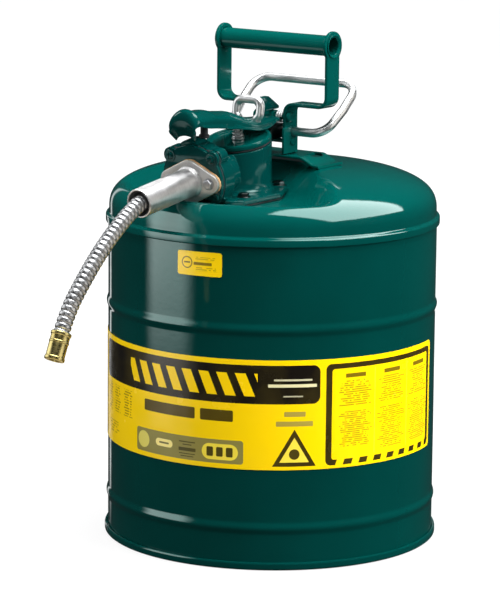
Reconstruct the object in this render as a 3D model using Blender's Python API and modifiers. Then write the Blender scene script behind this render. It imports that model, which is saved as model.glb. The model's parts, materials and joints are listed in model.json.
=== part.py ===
"""Safety gas can: steel can body, bolted pour/fill manifold, hinged fill cap with
lever, squeeze trigger, spring valve, flexible metal hose and carrying handle.

Frame: metres, +Z up; sizes below are in mm. The can stands on z = 0. It is built
with its axis on Z and then moved along +Y so that the origin lies on the front of
the bottom rim. The hose points along -Y (front) and the grip lies along X.
"""
import math

import bmesh
import bpy
from mathutils import Euler, Matrix, Vector

MM = 0.001

# ---------------------------------------------------------------- shared dimensions (mm)
BODY_R = 146.1            # outside radius of the side wall
WALL_T = 1.1
WALL_BOTTOM = 2.2
WALL_TOP = 286.6
BODY_STEPS = 40
CHIME_R = 149.0           # bottom rolled rim
RIM_FLAT = (143.8, 147.0)  # inner and outer radius of the rim's flat underside
SEAM_R = 148.4            # top seam bead
RIB_Z = (36.5, 210.0)     # stiffening ribs
RIB_H = 1.4
PAD_Z = 311.0             # flat pad the manifold stands on

FILL_Y = -53.0            # axis of the fill tower
VALVE_Y = -16.5           # axis of the valve plunger
POUR_Y = -94.5            # axis of the upright pour bore
TOWER_R = 29.0
MOUTH = (0.0, FILL_Y, 357.6)      # centre of the cap underside
FILL_TILT = math.radians(12.0)    # the mouth slopes down to the front
FLANGE_Z = (312.8, 317.3)
GASKET_Z = (311.4, 312.5)

SPOUT_Y, SPOUT_Z = -121.2, 331.0
SPOUT_DROOP = math.radians(8.0)   # below horizontal
GUARD_R = 12.5
GUARD_LEN = 76.0
HOSE_R = 7.0

HANDLE_Y = 4.8
GRIP_Z = 440.0
GRIP_R = 9.0
GRIP_HALF = 62.4
STRAP_T = 3.0
STRAP_W = 19.0
UPRIGHT_X = 58.0
STEM_X = 14.2
ARM_Z = 386.5
SPACER_Y, SPACER_Z = HANDLE_Y - 2.0, 353.2
SPACER_HOLE_R = 2.3

TRIGGER_Y, TRIGGER_Z = HANDLE_Y, 362.0
WIRE_R = 4.0              # trigger bail
TRIGGER_HOLE_R = WIRE_R + 0.4
BAIL_TILT = math.radians(40.0)
LID_Y, LID_Z = -1.0, 375.0
HOOP_X, HOOP_Y = 9.6, -40.0       # feet of the lever hoop
STUD_Y = -57.2            # where the cap stud passes through the lever

LABEL_Z = (88.5, 184.4)
LABEL_HALF_ANGLE = 107.0  # degrees
LABEL_GAP = 0.3           # between the wall and a label
LABEL_T = 0.3

SIDES = (("left", -1), ("right", 1))     # name and sign of x

# Euler angles
X_AXIS = (0.0, math.pi / 2, 0.0)         # local z -> world x
SIDE = (math.pi / 2, 0.0, math.pi / 2)   # local x -> world y, local y -> world z
FRONT = (math.pi / 2, 0.0, 0.0)          # local x -> world x, local y -> world z
TILTED = (FILL_TILT, 0.0, 0.0)
SPOUT_ROT = (SPOUT_DROOP, 0.0, 0.0)

# ---------------------------------------------------------------- scene reset
for old in list(bpy.data.objects):
    bpy.data.objects.remove(old, do_unlink=True)

PARTS = bpy.data.collections.new("safety_gas_can")
CUTTERS = bpy.data.collections.new("cutters")
bpy.context.scene.collection.children.link(PARTS)
bpy.context.scene.collection.children.link(CUTTERS)

# ---------------------------------------------------------------- materials
# kind: base colour, roughness, metallic
FINISHES = {
    "enamel": ((0.0, 0.115, 0.085), 0.18, 0.0),
    "enamel_cast": ((0.0, 0.10, 0.075), 0.28, 0.0),
    "zinc": ((0.72, 0.73, 0.74), 0.28, 1.0),
    "steel": ((0.55, 0.56, 0.58), 0.35, 1.0),
    "brass": ((0.62, 0.52, 0.22), 0.35, 1.0),
    "rubber": ((0.02, 0.02, 0.022), 0.6, 0.0),
    "fibre": ((0.45, 0.28, 0.14), 0.8, 0.0),
    "label": ((1.0, 0.68, 0.0), 0.35, 0.0),
    "screen": ((0.45, 0.45, 0.42), 0.5, 1.0),
    "black_steel": ((0.03, 0.035, 0.035), 0.4, 0.6),
}


def material(name, color, roughness, metallic):
    mat = bpy.data.materials.new(name)
    mat.use_nodes = True
    inputs = mat.node_tree.nodes["Principled BSDF"].inputs
    inputs["Base Color"].default_value = (*color, 1.0)
    inputs["Roughness"].default_value = roughness
    inputs["Metallic"].default_value = metallic
    mat.diffuse_color = (*color, 1.0)
    return mat


def finish(obj, kind, parent=None):
    """Give a piece its own material and hang it, where it stands, on a parent."""
    color, roughness, metallic = FINISHES[kind]
    obj.data.materials.append(
        material(obj.name + "_finish", color=color, roughness=roughness, metallic=metallic))
    if parent:
        obj.parent = parent
        obj.matrix_parent_inverse = Matrix.Translation(-parent.location)


# ---------------------------------------------------------------- object helpers
def mm(x, y, z):
    """Point given in mm, as a Vector in metres."""
    return Vector((x * MM, y * MM, z * MM))


def add_object(name, data, at=(0, 0, 0), rot=(0, 0, 0)):
    obj = bpy.data.objects.new(name, data)
    obj.location = at
    obj.rotation_euler = rot
    PARTS.objects.link(obj)
    return obj


def turned(name, profile, steps, at=(0, 0, 0), rot=(0, 0, 0)):
    """Profile of (radius, height) turned about local Z.

    A profile that starts on the axis also ends there; any other is closed.
    """
    count = len(profile)
    edges = [(i, i + 1) for i in range(count - 1)]
    if profile[0][0] != 0:
        edges.append((count - 1, 0))
    mesh = bpy.data.meshes.new(name)
    mesh.from_pydata([(radius * MM, 0.0, z * MM) for radius, z in profile], edges, [])
    obj = add_object(name, mesh, at, rot)
    screw = obj.modifiers.new("turn", "SCREW")
    screw.axis = "Z"
    screw.angle = 2 * math.pi
    screw.steps = steps
    screw.render_steps = steps
    screw.use_merge_vertices = True
    screw.merge_threshold = 0.00002
    screw.use_smooth_shade = False
    return obj


def round_bar(name, radius, height, steps, at, rot=(0, 0, 0)):
    """Solid cylinder from z = 0 to z = height on the local axis."""
    return turned(name, [(0, height), (radius, height), (radius, 0), (0, 0)], steps, at, rot)


def box(name, low, high, at=(0, 0, 0), rot=(0, 0, 0)):
    work = bmesh.new()
    bmesh.ops.create_cube(work, size=1.0)
    for vert in work.verts:
        vert.co = mm(*[a + (b - a) * (c + 0.5) for a, b, c in zip(low, high, vert.co)])
    mesh = bpy.data.meshes.new(name)
    work.to_mesh(mesh)
    work.free()
    return add_object(name, mesh, at, rot)


def add_spline(curve, points, cyclic):
    spline = curve.splines.new("POLY")
    spline.points.add(len(points) - 1)
    for target, (x, y, z) in zip(spline.points, points):
        target.co = (x * MM, y * MM, z * MM, 1.0)
    spline.use_cyclic_u = cyclic


def wire(name, points, radius, resolution, at=(0, 0, 0), rot=(0, 0, 0)):
    """Round wire with flat ends along a line of points."""
    curve = bpy.data.curves.new(name, "CURVE")
    curve.dimensions = "3D"
    curve.bevel_depth = radius * MM
    curve.bevel_resolution = resolution
    curve.use_fill_caps = True
    add_spline(curve, points, cyclic=False)
    return add_object(name, curve, at, rot)


def flat(name, loops, thickness, at=(0, 0, 0), rot=(0, 0, 0)):
    """Flat sheet in local XY, centred on its thickness; loops inside others are holes."""
    curve = bpy.data.curves.new(name, "CURVE")
    curve.dimensions = "2D"
    curve.fill_mode = "BOTH"
    curve.extrude = thickness * MM / 2
    for loop in loops:
        add_spline(curve, [(x, y, 0.0) for x, y in loop], cyclic=True)
    return add_object(name, curve, at, rot)


def slab(name, loops, z_range):
    """Level sheet between two heights."""
    low, high = z_range
    return flat(name, loops, high - low, mm(0, 0, (low + high) / 2))


def to_mesh(obj):
    """Turn a curve, or a piece with modifiers, into a plain welded mesh."""
    bpy.context.view_layer.update()
    depsgraph = bpy.context.evaluated_depsgraph_get()
    mesh = bpy.data.meshes.new_from_object(obj.evaluated_get(depsgraph))
    work = bmesh.new()
    work.from_mesh(mesh)
    bmesh.ops.remove_doubles(work, verts=work.verts, dist=0.00001)
    bmesh.ops.recalc_face_normals(work, faces=work.faces)
    work.to_mesh(mesh)
    work.free()
    name = obj.name
    matrix = obj.matrix_world.copy()
    bpy.data.objects.remove(obj, do_unlink=True)
    mesh.name = name
    new = add_object(name, mesh)
    new.matrix_world = matrix
    return new


def boolean(obj, tools, operation="DIFFERENCE"):
    """Cut or join helper bodies, which move to the cutters collection."""
    for tool in tools:
        PARTS.objects.unlink(tool)
        CUTTERS.objects.link(tool)
        tool.hide_render = True
        tool.display_type = "WIRE"
        mod = obj.modifiers.new(operation.lower() + "_" + tool.name, "BOOLEAN")
        mod.operation = operation
        mod.solver = "EXACT"
        mod.object = tool


# ---------------------------------------------------------------- outline helpers
def circle(cx, cy, radius, count):
    angles = [2 * math.pi * i / count for i in range(count)]
    return [(cx + radius * math.cos(a), cy + radius * math.sin(a)) for a in angles]


def corner(before, tip, after, radius, segments):
    """Arc that replaces the corner at tip, kept within half of each leg."""
    if radius <= 0:
        return [tip]
    leg_in, leg_out = before - tip, after - tip
    dir_in, dir_out = leg_in / leg_in.length, leg_out / leg_out.length
    half = math.acos(max(-1, min(1, dir_in.dot(dir_out)))) / 2
    if half > math.pi / 2 - 1e-4:      # the legs run straight on
        return [tip]
    setback = min(radius / math.tan(half), 0.49 * leg_in.length, 0.49 * leg_out.length)
    arc_radius = setback * math.tan(half)
    centre = tip + (dir_in + dir_out).normalized() * (arc_radius / math.sin(half))
    start = tip + dir_in * setback - centre
    end = tip + dir_out * setback - centre
    sweep = start.angle(end)
    points = []
    for k in range(segments + 1):
        t = k / segments
        mix = start * math.sin((1 - t) * sweep) + end * math.sin(t * sweep)
        points.append(centre + mix / math.sin(sweep))
    return points


def rounded(corners, segments):
    """Closed outline from rows of (x, y, corner radius)."""
    points = [Vector(row[:2]) for row in corners]
    out = []
    for i, row in enumerate(corners):
        out += corner(points[i - 1], points[i], points[(i + 1) % len(points)], row[2], segments)
    return [tuple(p) for p in out]


def mirrored(corners):
    """Rows of (x, y, corner radius) followed by their mirror image in x = 0."""
    return corners + [(-x, y, radius) for x, y, radius in corners[::-1]]


def path(points, radii, segments=4):
    """Open path with its inner corners rounded."""
    pts = [Vector(p) for p in points]
    out = [pts[0]]
    for before, tip, after, radius in zip(pts, pts[1:], pts[2:], radii):
        out += corner(before, tip, after, radius, segments)
    out.append(pts[-1])
    return [tuple(p) for p in out]


def ribbon(centre_line, thickness):
    """Closed outline of a strip that follows a 2D line."""
    pts = [Vector(p) for p in centre_line]
    dirs = [(b - a).normalized() for a, b in zip(pts, pts[1:])]
    left, right = [], []
    for point, dir_in, dir_out in zip(pts, dirs[:1] + dirs, dirs + dirs[-1:]):
        along = (dir_in + dir_out).normalized()
        mitre = 1.0 / max(0.5, along.dot(dir_in))
        offset = Vector((-along.y, along.x)) * (thickness / 2 * mitre)
        left.append(tuple(point + offset))
        right.append(tuple(point - offset))
    return left + right[::-1]


def helix(cx, cy, z_start, z_end, radius, turns, per_turn, start=0.0):
    count = int(turns * per_turn)
    points = []
    for i in range(count + 1):
        angle = start + 2 * math.pi * i / per_turn
        points.append((cx + radius * math.cos(angle), cy + radius * math.sin(angle),
                       z_start + (z_end - z_start) * i / count))
    return points


# ---------------------------------------------------------------- can body
outer_ribs = []
for rib_z in reversed(RIB_Z):
    outer_ribs += [(BODY_R, rib_z + 6), (BODY_R + RIB_H * 0.8, rib_z + 3),
                   (BODY_R + RIB_H, rib_z),
                   (BODY_R + RIB_H * 0.8, rib_z - 3), (BODY_R, rib_z - 6)]
inner_ribs = []
for rib_z in RIB_Z:
    inner_ribs += [(BODY_R, rib_z - 6), (BODY_R + RIB_H, rib_z), (BODY_R, rib_z + 6)]
inner_wall = [(BODY_R, WALL_BOTTOM)] + inner_ribs + [(BODY_R, WALL_TOP)]
finish(turned("body_side",
              [(BODY_R, WALL_TOP)] + outer_ribs + [(BODY_R, WALL_BOTTOM)]
              + [(radius - WALL_T, z) for radius, z in inner_wall],
              BODY_STEPS), "enamel")

finish(turned("bottom_pan", [
    (0, 8.8), (144.0, 8.8), (144.7, 8.2), (144.7, 1.8), (146.5, 1.8), (146.5, 6.6),
    (147.4, 7.3), (148.5, 6.6), (CHIME_R, 5.2), (CHIME_R, 1.6), (148.2, 0.4),
    (RIM_FLAT[1], 0.0), (RIM_FLAT[0], 0.0), (143.2, 0.6), (143.2, 7.4), (0, 7.4)],
    BODY_STEPS), "enamel")


def label(name, z_low, z_high, start, end, steps):
    """Label wrapped on the wall; angles in degrees from -Y towards +X."""
    radius = BODY_R + LABEL_GAP
    verts = []
    for i in range(steps + 1):
        angle = math.radians(start + (end - start) * i / steps)
        x, y = radius * math.sin(angle), -radius * math.cos(angle)
        verts += [mm(x, y, z_low), mm(x, y, z_high)]
    faces = [(i, i + 2, i + 3, i + 1) for i in range(0, 2 * steps, 2)]
    mesh = bpy.data.meshes.new(name)
    mesh.from_pydata(verts, [], faces)
    obj = add_object(name, mesh)
    sheet = obj.modifiers.new("sheet", "SOLIDIFY")
    sheet.thickness = LABEL_T * MM
    sheet.offset = 1.0
    finish(obj, "label")


label("label_band", *LABEL_Z, -LABEL_HALF_ANGLE, LABEL_HALF_ANGLE, 40)
label("hazard_sticker", 254.2, 274.8, 1.6, 18.1, 6)

# ---------------------------------------------------------------- top dome
# outer surface before the pad is pressed in: radius, height
DOME = [(0, 334.0), (32, 333.9), (60, 333.6), (84, 333.0), (87, 332.4), (96, 328.9),
        (107, 322.9), (117, 317.6), (126, 312.8), (133, 308.7), (138.5, 304.2),
        (142.4, 299.0), (144.6, 294.0), (145.3, 290.2)]
# radii of the mesh rings
RINGS = [0, 11.5, 20, 30, 41, 52, 63, 75, 87, 100, 113, 126, 133, 138.5, 142.4, 144.6]
DOME_T = 1.5
# seam bead and the fold that grips the side wall: radius, height
DOME_RIM = [(147.6, 287.4), (SEAM_R, 284.7), (147.6, 282.0), (146.5, 281.8), (146.5, 287.2),
            (144.7, 287.2), (144.7, 280.5), (143.6, 280.5), (143.6, 290.0)]
# inside of the dome's shoulder: radius, height
DOME_SHOULDER = [(143.0, 293.2), (140.9, 297.9), (137.2, 302.8), (132.1, 307.1)]


def dome_z(radius):
    for (r_in, z_in), (r_out, z_out) in zip(DOME, DOME[1:]):
        if radius <= r_out:
            return z_in + (z_out - z_in) * (radius - r_in) / (r_out - r_in)
    return DOME[-1][1]


def smooth(low, high, value):
    t = max(0.0, min(1.0, (value - low) / (high - low)))
    return t * t * (3 - 2 * t)


def pad_drop(x, y):
    """How far the front of the dome is pressed down to make the manifold pad."""
    radius = math.hypot(x, y)
    full = dome_z(radius)
    pad = PAD_Z - 0.06 * max(0.0, abs(x) - 50.0)
    # The pad ends at a back edge on y = 0 and at a slanting edge on each side.
    # Distances are positive outside; a smooth maximum rounds the corner between them.
    past_back = y
    past_slant = (abs(x) - 46.0) * 0.682 + (y + 18.0) * 0.731
    blend = 4.0
    mix = max(0.0, min(1.0, 0.5 + 0.5 * (past_back - past_slant) / blend))
    outside = past_slant * (1 - mix) + past_back * mix + blend * mix * (1 - mix)
    weight = (1.0 - smooth(-9.0, 7.0, outside)) * (1.0 - smooth(126.0, 138.0, radius))
    return (min(pad, full) - full) * weight


# base screws of the manifold: x, y
SCREW_AT = [(23.0, -24.0), (-23.0, -24.0), (38.5, -99.0), (-38.5, -99.0)]
BOLT_HOLE_R = 2.9
SCREW_HOLES = [circle(x, y, BOLT_HOLE_R, 8) for x, y in SCREW_AT]

dome = to_mesh(turned(
    "top_dome",
    [(radius, dome_z(radius)) for radius in RINGS] + [DOME[-1]] + DOME_RIM + DOME_SHOULDER
    + [(radius, dome_z(radius) - DOME_T) for radius in RINGS if radius < 130][::-1],
    BODY_STEPS))
for vertex in dome.data.vertices:
    x, y, z = vertex.co / MM
    if math.hypot(x, y) < 137.0 and z > 300.0:
        vertex.co.z += pad_drop(x, y) * MM
boolean(dome, [
    round_bar("cut_dome_fill", 24.0, 40, 24, mm(0, FILL_Y, 295)),
    round_bar("cut_dome_valve", 4.0, 40, 12, mm(0, VALVE_Y, 295)),
    round_bar("cut_dome_pour", 8.0, 40, 16, mm(0, POUR_Y, 295)),
    to_mesh(slab("cut_screws", SCREW_HOLES, (288, 348))),
])
finish(dome, "enamel")

# ---------------------------------------------------------------- manifold base
# left half of each outline, back to front: x, y, corner radius
FLANGE_HALF = [(-19, -11.5, 5), (-31, -23, 8), (-48, -56, 14), (-48, -112, 8),
               (-41, -121, 5), (-34, -121, 1.5), (-34, -112.8, 0)]
GASKET_HALF = [(-18, -12.6, 4), (-29.5, -24, 7), (-47, -56, 13), (-47, -111, 6),
               (-42, -117, 3), (-36, -117, 0), (-34, -112, 0)]

finish(slab("manifold_gasket",
            [rounded(mirrored(GASKET_HALF), 2)] + SCREW_HOLES
            + [circle(0, FILL_Y, 24.4, 24), circle(0, VALVE_Y, 3.1, 10),
               circle(0, POUR_Y, 8.4, 16)],
            GASKET_Z), "rubber")

for i, (x, y) in enumerate(SCREW_AT):
    finish(turned(f"base_screw_{i + 1}",
                  [(0, 322.0), (4.3, 322.0), (5.1, 321.2), (5.1, 318.9), (5.9, 318.8),
                   (5.9, 317.6), (2.5, 317.6), (2.5, 306.0), (0, 306.0)],
                  6, mm(x, y, 0), (0, 0, 0.35 * i)), "black_steel")

# ---------------------------------------------------------------- spout frame
# Local -Y runs out along the hose; the origin is on the spout face.
SPOUT_FRAME = Matrix.Translation(mm(0, SPOUT_Y, SPOUT_Z)) @ Euler(SPOUT_ROT).to_matrix().to_4x4()
# local +Z of a turned piece laid along the frame's +Y
ALONG = (SPOUT_FRAME.to_3x3() @ Matrix.Rotation(-math.pi / 2, 3, "X")).to_euler()
# local XY plane of a flat piece laid on the frame's XZ plane
ACROSS = (SPOUT_FRAME.to_3x3() @ Matrix.Rotation(math.pi / 2, 3, "X")).to_euler()

DISC_R = 31.0             # round face of the spout
LUG_R = 7.2               # lugs around the two upper cover screws
COVER_BOTTOM = -15.8      # flat lower edge of the cover
# x, z on the face; the first two sit in lugs
COVER_SCREWS = [(21.5, 20.5), (-21.5, 20.5), (24.6, -12.6), (-24.6, -12.6)]
FLANGE_BOLT_X = 20.6
BOLT_HOLES = [circle(sign * FLANGE_BOLT_X, 0, BOLT_HOLE_R, 8) for _, sign in SIDES]
FACE_HOLES = [circle(x, z, 2.1, 8) for x, z in COVER_SCREWS] + BOLT_HOLES


def on_spout(x, y, z):
    """World point from the spout frame."""
    return SPOUT_FRAME @ mm(x, y, z)


def face_plate(name, loops, y_out, y_in):
    """Sheet parallel to the spout face between two stations along the frame's Y."""
    return flat(name, loops, y_in - y_out, on_spout(0, (y_out + y_in) / 2, 0), ACROSS)


# ---------------------------------------------------------------- manifold casting
casting = to_mesh(slab("manifold_casting", [rounded(mirrored(FLANGE_HALF), 2)], FLANGE_Z))
boolean(casting, [
    turned("join_tower",
           [(0, 368.0), (TOWER_R, 368.0), (TOWER_R, 320.0), (TOWER_R + 0.7, 318.4),
            (TOWER_R + 2.2, 316.8), (TOWER_R + 2.2, 314.5), (0, 314.5)],
           32, mm(0, FILL_Y, 0)),
    round_bar("join_neck", 20.0, 34.0, 24, on_spout(0, 10, -3.0), ALONG),
    turned("join_spout_disc",
           [(0, 24.0), (28.0, 24.0), (DISC_R, 20.0), (DISC_R, 5.0), (0, 5.0)],
           32, on_spout(0, 0, 0), ALONG),
    turned("join_lobe", [(0, 25.0), (10.5, 25.0), (13.5, 21.0), (13.5, 4.5), (0, 4.5)],
           20, on_spout(-5, 0, 20.5), ALONG),
] + [
    round_bar(f"join_lug_{i + 1}", LUG_R, 12.8, 14, on_spout(x, 4.0, z), ALONG)
    for i, (x, z) in enumerate(COVER_SCREWS[:2])
], "UNION")
boolean(casting, [
    box("cut_under", (-80, -170, 270), (80, 20, FLANGE_Z[0])),
    box("cut_front_face", (-33.6, -40.0, -30.0), (33.6, 5.8, 60.0),
        mm(0, SPOUT_Y, SPOUT_Z), SPOUT_ROT),
    box("cut_mouth", (-40.0, -31.5, -2.0), (40.0, 31.5, 30.0), mm(*MOUTH), TILTED),
    turned("cut_tower",
           [(0, 370.0), (25.0, 370.0), (25.0, 345.6), (23.2, 345.6), (23.2, 300.0), (0, 300.0)],
           28, mm(0, FILL_Y, 0)),
    round_bar("cut_spout", 8.0, 34.0, 16, on_spout(0, -6, 0), ALONG),
    round_bar("cut_down", 7.6, 34.0, 16, mm(0, POUR_Y, 300)),
    round_bar("cut_stem", 3.0, 30.0, 10, mm(0, VALVE_Y, 300)),
    to_mesh(slab("cut_base_screws", SCREW_HOLES, (309, 321))),
    to_mesh(face_plate("cut_front_holes", FACE_HOLES, -2.0, 14.0)),
])
finish(casting, "enamel_cast")


# ---------------------------------------------------------------- spout cover
def cover_outline():
    """Disc outline pushed out around the lugs and cut flat below."""
    outline = []
    for k in range(40):
        angle = 2 * math.pi * k / 40
        ray = Vector((math.cos(angle), math.sin(angle)))
        reach = DISC_R
        for lug in COVER_SCREWS[:2]:
            centre = Vector(lug)
            if (ray * reach - centre).length < LUG_R:
                along = ray.dot(centre)
                far_side = along + math.sqrt(along ** 2 - centre.length_squared + LUG_R ** 2)
                reach = max(reach, far_side)
        outline.append((reach * ray.x, max(reach * ray.y, COVER_BOTTOM)))
    return outline


# name, outer and inner station, finish, scale of the outline
for name, y_out, y_in, kind, scale in (("spout_cover_gasket", 4.6, 5.5, "rubber", 0.985),
                                       ("spout_cover", 0.3, 4.3, "enamel_cast", 1.0)):
    edge = [(x * scale, z * scale) for x, z in cover_outline()]
    finish(face_plate(name, [edge, circle(0, 0, 8.6, 16)] + FACE_HOLES, y_out, y_in), kind)

for i, (x, z) in enumerate(COVER_SCREWS):
    finish(turned(f"cover_screw_{i + 1}",
                  [(0, 12.0), (1.7, 12.0), (1.7, 0.0), (3.4, 0.0), (3.4, -1.5),
                   (2.4, -2.4), (0, -2.4)],
                  8, on_spout(x, 0, z), ALONG), "enamel_cast")

# ---------------------------------------------------------------- hose flange and guard
DIAMOND = rounded([(-40.8, 0, 8.5), (0, -20.5, 13.0), (40.8, 0, 8.5), (0, 20.5, 13.0)], 5)
DIAMOND_HOLES = [circle(0, 0, 6.6, 16)] + BOLT_HOLES
GASKET_GROW = 1.02
finish(face_plate("hose_flange_gasket",
                  [[(x * GASKET_GROW, z * GASKET_GROW) for x, z in DIAMOND]] + DIAMOND_HOLES,
                  -1.0, -0.1), "fibre")
finish(face_plate("hose_flange", [DIAMOND] + DIAMOND_HOLES, -4.3, -1.3), "zinc")
for side_name, sign in SIDES:
    finish(turned("flange_bolt_" + side_name,
                  [(0, 11.0), (2.5, 11.0), (2.5, -4.6), (5.2, -4.6), (5.2, -7.4),
                   (4.4, -8.2), (0, -8.2)],
                  6, on_spout(sign * FLANGE_BOLT_X, 0, 0), ALONG), "zinc")


def spout_tube(name, outer, inner, z_top, z_end, steps, kind):
    """Tube on the spout axis."""
    profile = [(outer, z_top), (outer, z_end), (inner, z_end), (inner, z_top)]
    finish(turned(name, profile, steps, on_spout(0, 0, 0), ALONG), kind)


spout_tube("hose_guard_tube", GUARD_R, GUARD_R - 1.5, -4.7, -GUARD_LEN, 28, "zinc")
# fixed length of hose inside the guard
spout_tube("hose_root", HOSE_R, 4.6, -4.9, -GUARD_LEN - 1.0, 16, "steel")

# ---------------------------------------------------------------- bending hose
# centre line: y, z
HOSE_LINE = [(-199.3, 318.2), (-210, 313.0), (-220, 307.1), (-228.6, 301.3), (-237, 295.2),
             (-245.6, 288.4), (-254, 281.1), (-260.7, 275.0), (-267, 268.8), (-273.6, 262.2),
             (-280, 255.4), (-285.2, 249.4), (-289.8, 243.2), (-294.8, 235.2), (-299.0, 227.2)]
TIP_END = (-309.3, 204.8)
# bend axis (y, z), first and last point on the line, gap left at each end
HOSE_LENGTHS = [((-198.5, 318.6), 0, 4, 1.1, 1.0),
                (HOSE_LINE[4], 4, 9, 1.0, 1.0),
                (HOSE_LINE[9], 9, 14, 1.0, 0.3)]


def hose_points(first, last, gap_start, gap_end):
    points = [Vector((0, *p)) for p in HOSE_LINE[first:last + 1]]
    start_dir = (points[1] - points[0]).normalized()
    end_dir = (points[-1] - points[-2]).normalized()
    points[0] += start_dir * gap_start
    points[-1] -= end_dir * gap_end
    return points


for i, (axis, *span) in enumerate(HOSE_LENGTHS):
    bend = add_object(f"hose_bend_axis_{i + 1}", None, mm(0, *axis))
    finish(wire(f"hose_length_{i + 1}", hose_points(*span), HOSE_R, 4), "steel", bend)

# the tip hangs on the last bend
tip_start = mm(0, *HOSE_LINE[-1])
tip_run = mm(0, *TIP_END) - tip_start
tip_len = tip_run.length / MM
finish(turned("hose_tip",
              [(8.3, tip_len), (8.6, tip_len - 0.8), (8.6, tip_len - 2.4), (8.1, tip_len - 3.0),
               (8.1, 3.4), (8.7, 2.8), (8.7, 0.9), (8.2, 0.3), (5.0, 0.3), (5.0, tip_len)],
              20, tip_start, tip_run.normalized().to_track_quat("Z", "X").to_euler()),
       "brass", bend)

# ---------------------------------------------------------------- moving axes
lid_axis = add_object("lid_axis", None, mm(0, LID_Y, LID_Z))
trigger_axis = add_object("trigger_axis", None, mm(0, TRIGGER_Y, TRIGGER_Z))
valve_axis = add_object("valve_axis", None, mm(0, VALVE_Y, 352))

# ---------------------------------------------------------------- fill port
finish(turned("fill_flame_arrester",
              [(0, 263.2), (21.3, 263.2), (21.3, 347.6), (24.6, 347.6), (24.6, 346.0),
               (22.3, 346.0), (22.3, 262.0), (0, 262.0)],
              24, mm(0, FILL_Y, 0)), "screen")

# cap pieces on the tilted mouth: name, finish, steps, profile (radius, height)
for name, kind, steps, profile in (
        ("fill_cap", "enamel", 28,
         [(0, 2.4), (23.5, 2.4), (25.2, 3.0), (26.2, 3.9), (27.6, 3.9), (28.7, 3.0),
          (28.7, 0.0), (0, 0.0)]),
        ("cap_seal", "rubber", 28, [(28.2, -0.3), (28.2, -1.7), (25.4, -1.7), (25.4, -0.3)]),
        ("cap_stud", "zinc", 12,
         [(0, 20.2), (2.4, 20.2), (2.4, 4.5), (5.6, 4.3), (5.6, 2.7), (0, 2.7)])):
    finish(turned(name, profile, steps, mm(*MOUTH), TILTED), kind, lid_axis)
finish(wire("cap_spring", helix(0, 0, 5.6, 15.2, radius=4.4, turns=3.5, per_turn=10),
            0.75, 1, mm(*MOUTH), TILTED), "zinc", lid_axis)

# ---------------------------------------------------------------- lid lever
# back to front: y, half width, edge height, crown height, depth of the turned-down edge
LEVER = [
    (-8.5, 11.6, 375.6, 376.2, 2.2), (-16, 12.0, 374.6, 376.4, 3.5),
    (-24, 13.0, 373.2, 376.8, 4.6), (-33, 13.6, 372.5, 377.2, 5.0),
    (-42, 14.2, 372.5, 378.0, 5.2), (-52, 14.5, 374.0, 379.6, 5.4),
    (-62, 14.6, 376.4, 382.0, 6.2), (-71, 14.8, 378.8, 384.8, 7.4),
    (-80, 15.0, 381.0, 386.9, 8.2), (-88, 15.2, 382.0, 387.9, 8.3),
    (-94, 15.4, 382.6, 388.4, 8.2), (-101, 15.6, 383.4, 389.5, 8.2),
    (-107, 15.8, 384.0, 390.8, 8.0), (-113, 16.0, 384.2, 391.4, 7.6),
    (-119, 16.0, 384.2, 391.3, 7.0), (-126, 15.8, 384.2, 392.4, 5.6),
    (-131, 15.2, 384.0, 393.8, 4.4), (-135.2, 14.2, 381.6, 391.2, 3.4),
    (-136.4, 13.0, 377.4, 385.4, 2.6), (-134.8, 11.6, 373.2, 379.2, 2.0),
    (-131.8, 9.8, 369.6, 373.4, 1.4), (-130.4, 8.8, 368.0, 370.6, 1.0)]
# across the top, left to crown: x as a share of half width, rise as a share of the crown's
CROWN = [(-0.80, 0.42), (-0.42, 0.85), (0, 1), (0.42, 0.85), (0.80, 0.42)]


def lever_mesh():
    work = bmesh.new()
    rows = []
    for y, half_width, edge_z, crown_z, turn_down in LEVER:
        section = [(-half_width, edge_z - turn_down), (-half_width, edge_z - 0.6)]
        section += [(x * half_width, edge_z + rise * (crown_z - edge_z)) for x, rise in CROWN]
        section += [(half_width, edge_z - 0.6), (half_width, edge_z - turn_down)]
        rows.append([work.verts.new(mm(x, y, z)) for x, z in section])
    for back, front in zip(rows, rows[1:]):
        for i in range(len(back) - 1):
            work.faces.new((back[i], front[i], front[i + 1], back[i + 1]))
    bmesh.ops.recalc_face_normals(work, faces=work.faces)
    # the thickness grows away from the normals, so they must face up
    if sum(f.normal.z * f.calc_area() for f in work.faces) < 0:
        bmesh.ops.reverse_faces(work, faces=work.faces)
    mesh = bpy.data.meshes.new("lid_lever")
    work.to_mesh(mesh)
    work.free()
    return mesh


lever = add_object("lid_lever", lever_mesh())
lever_sheet = lever.modifiers.new("sheet", "SOLIDIFY")
lever_sheet.thickness = 1.9 * MM
lever_sheet.offset = -1.0
boolean(lever, [
    round_bar("cut_hoop_1", WIRE_R + 0.45, 30, 12, mm(-HOOP_X, HOOP_Y, 364)),
    round_bar("cut_hoop_2", WIRE_R + 0.45, 30, 12, mm(HOOP_X, HOOP_Y, 364)),
    round_bar("cut_stud", 2.8, 30, 10, mm(0, STUD_Y, 366)),
])
finish(lever, "enamel", lid_axis)

finish(turned("lever_hinge_barrel", [(5.4, 15.2), (5.4, 0.0), (3.3, 0.0), (3.3, 15.2)],
              16, mm(-12.2, LID_Y, LID_Z), X_AXIS), "enamel", lid_axis)

hoop_path = path([(-HOOP_X, HOOP_Y, 373.6), (-9.8, HOOP_Y, 377.0), (-12.6, -39.6, 380.2),
                  (-12.8, -37.8, 393.2), (12.8, -37.8, 393.2), (12.6, -39.6, 380.2),
                  (9.8, HOOP_Y, 377.0), (HOOP_X, HOOP_Y, 373.6)],
                 [3, 4, 12, 12, 4, 3])
finish(wire("lever_hoop", hoop_path, WIRE_R - 0.3, 2), "zinc", lid_axis)

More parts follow.
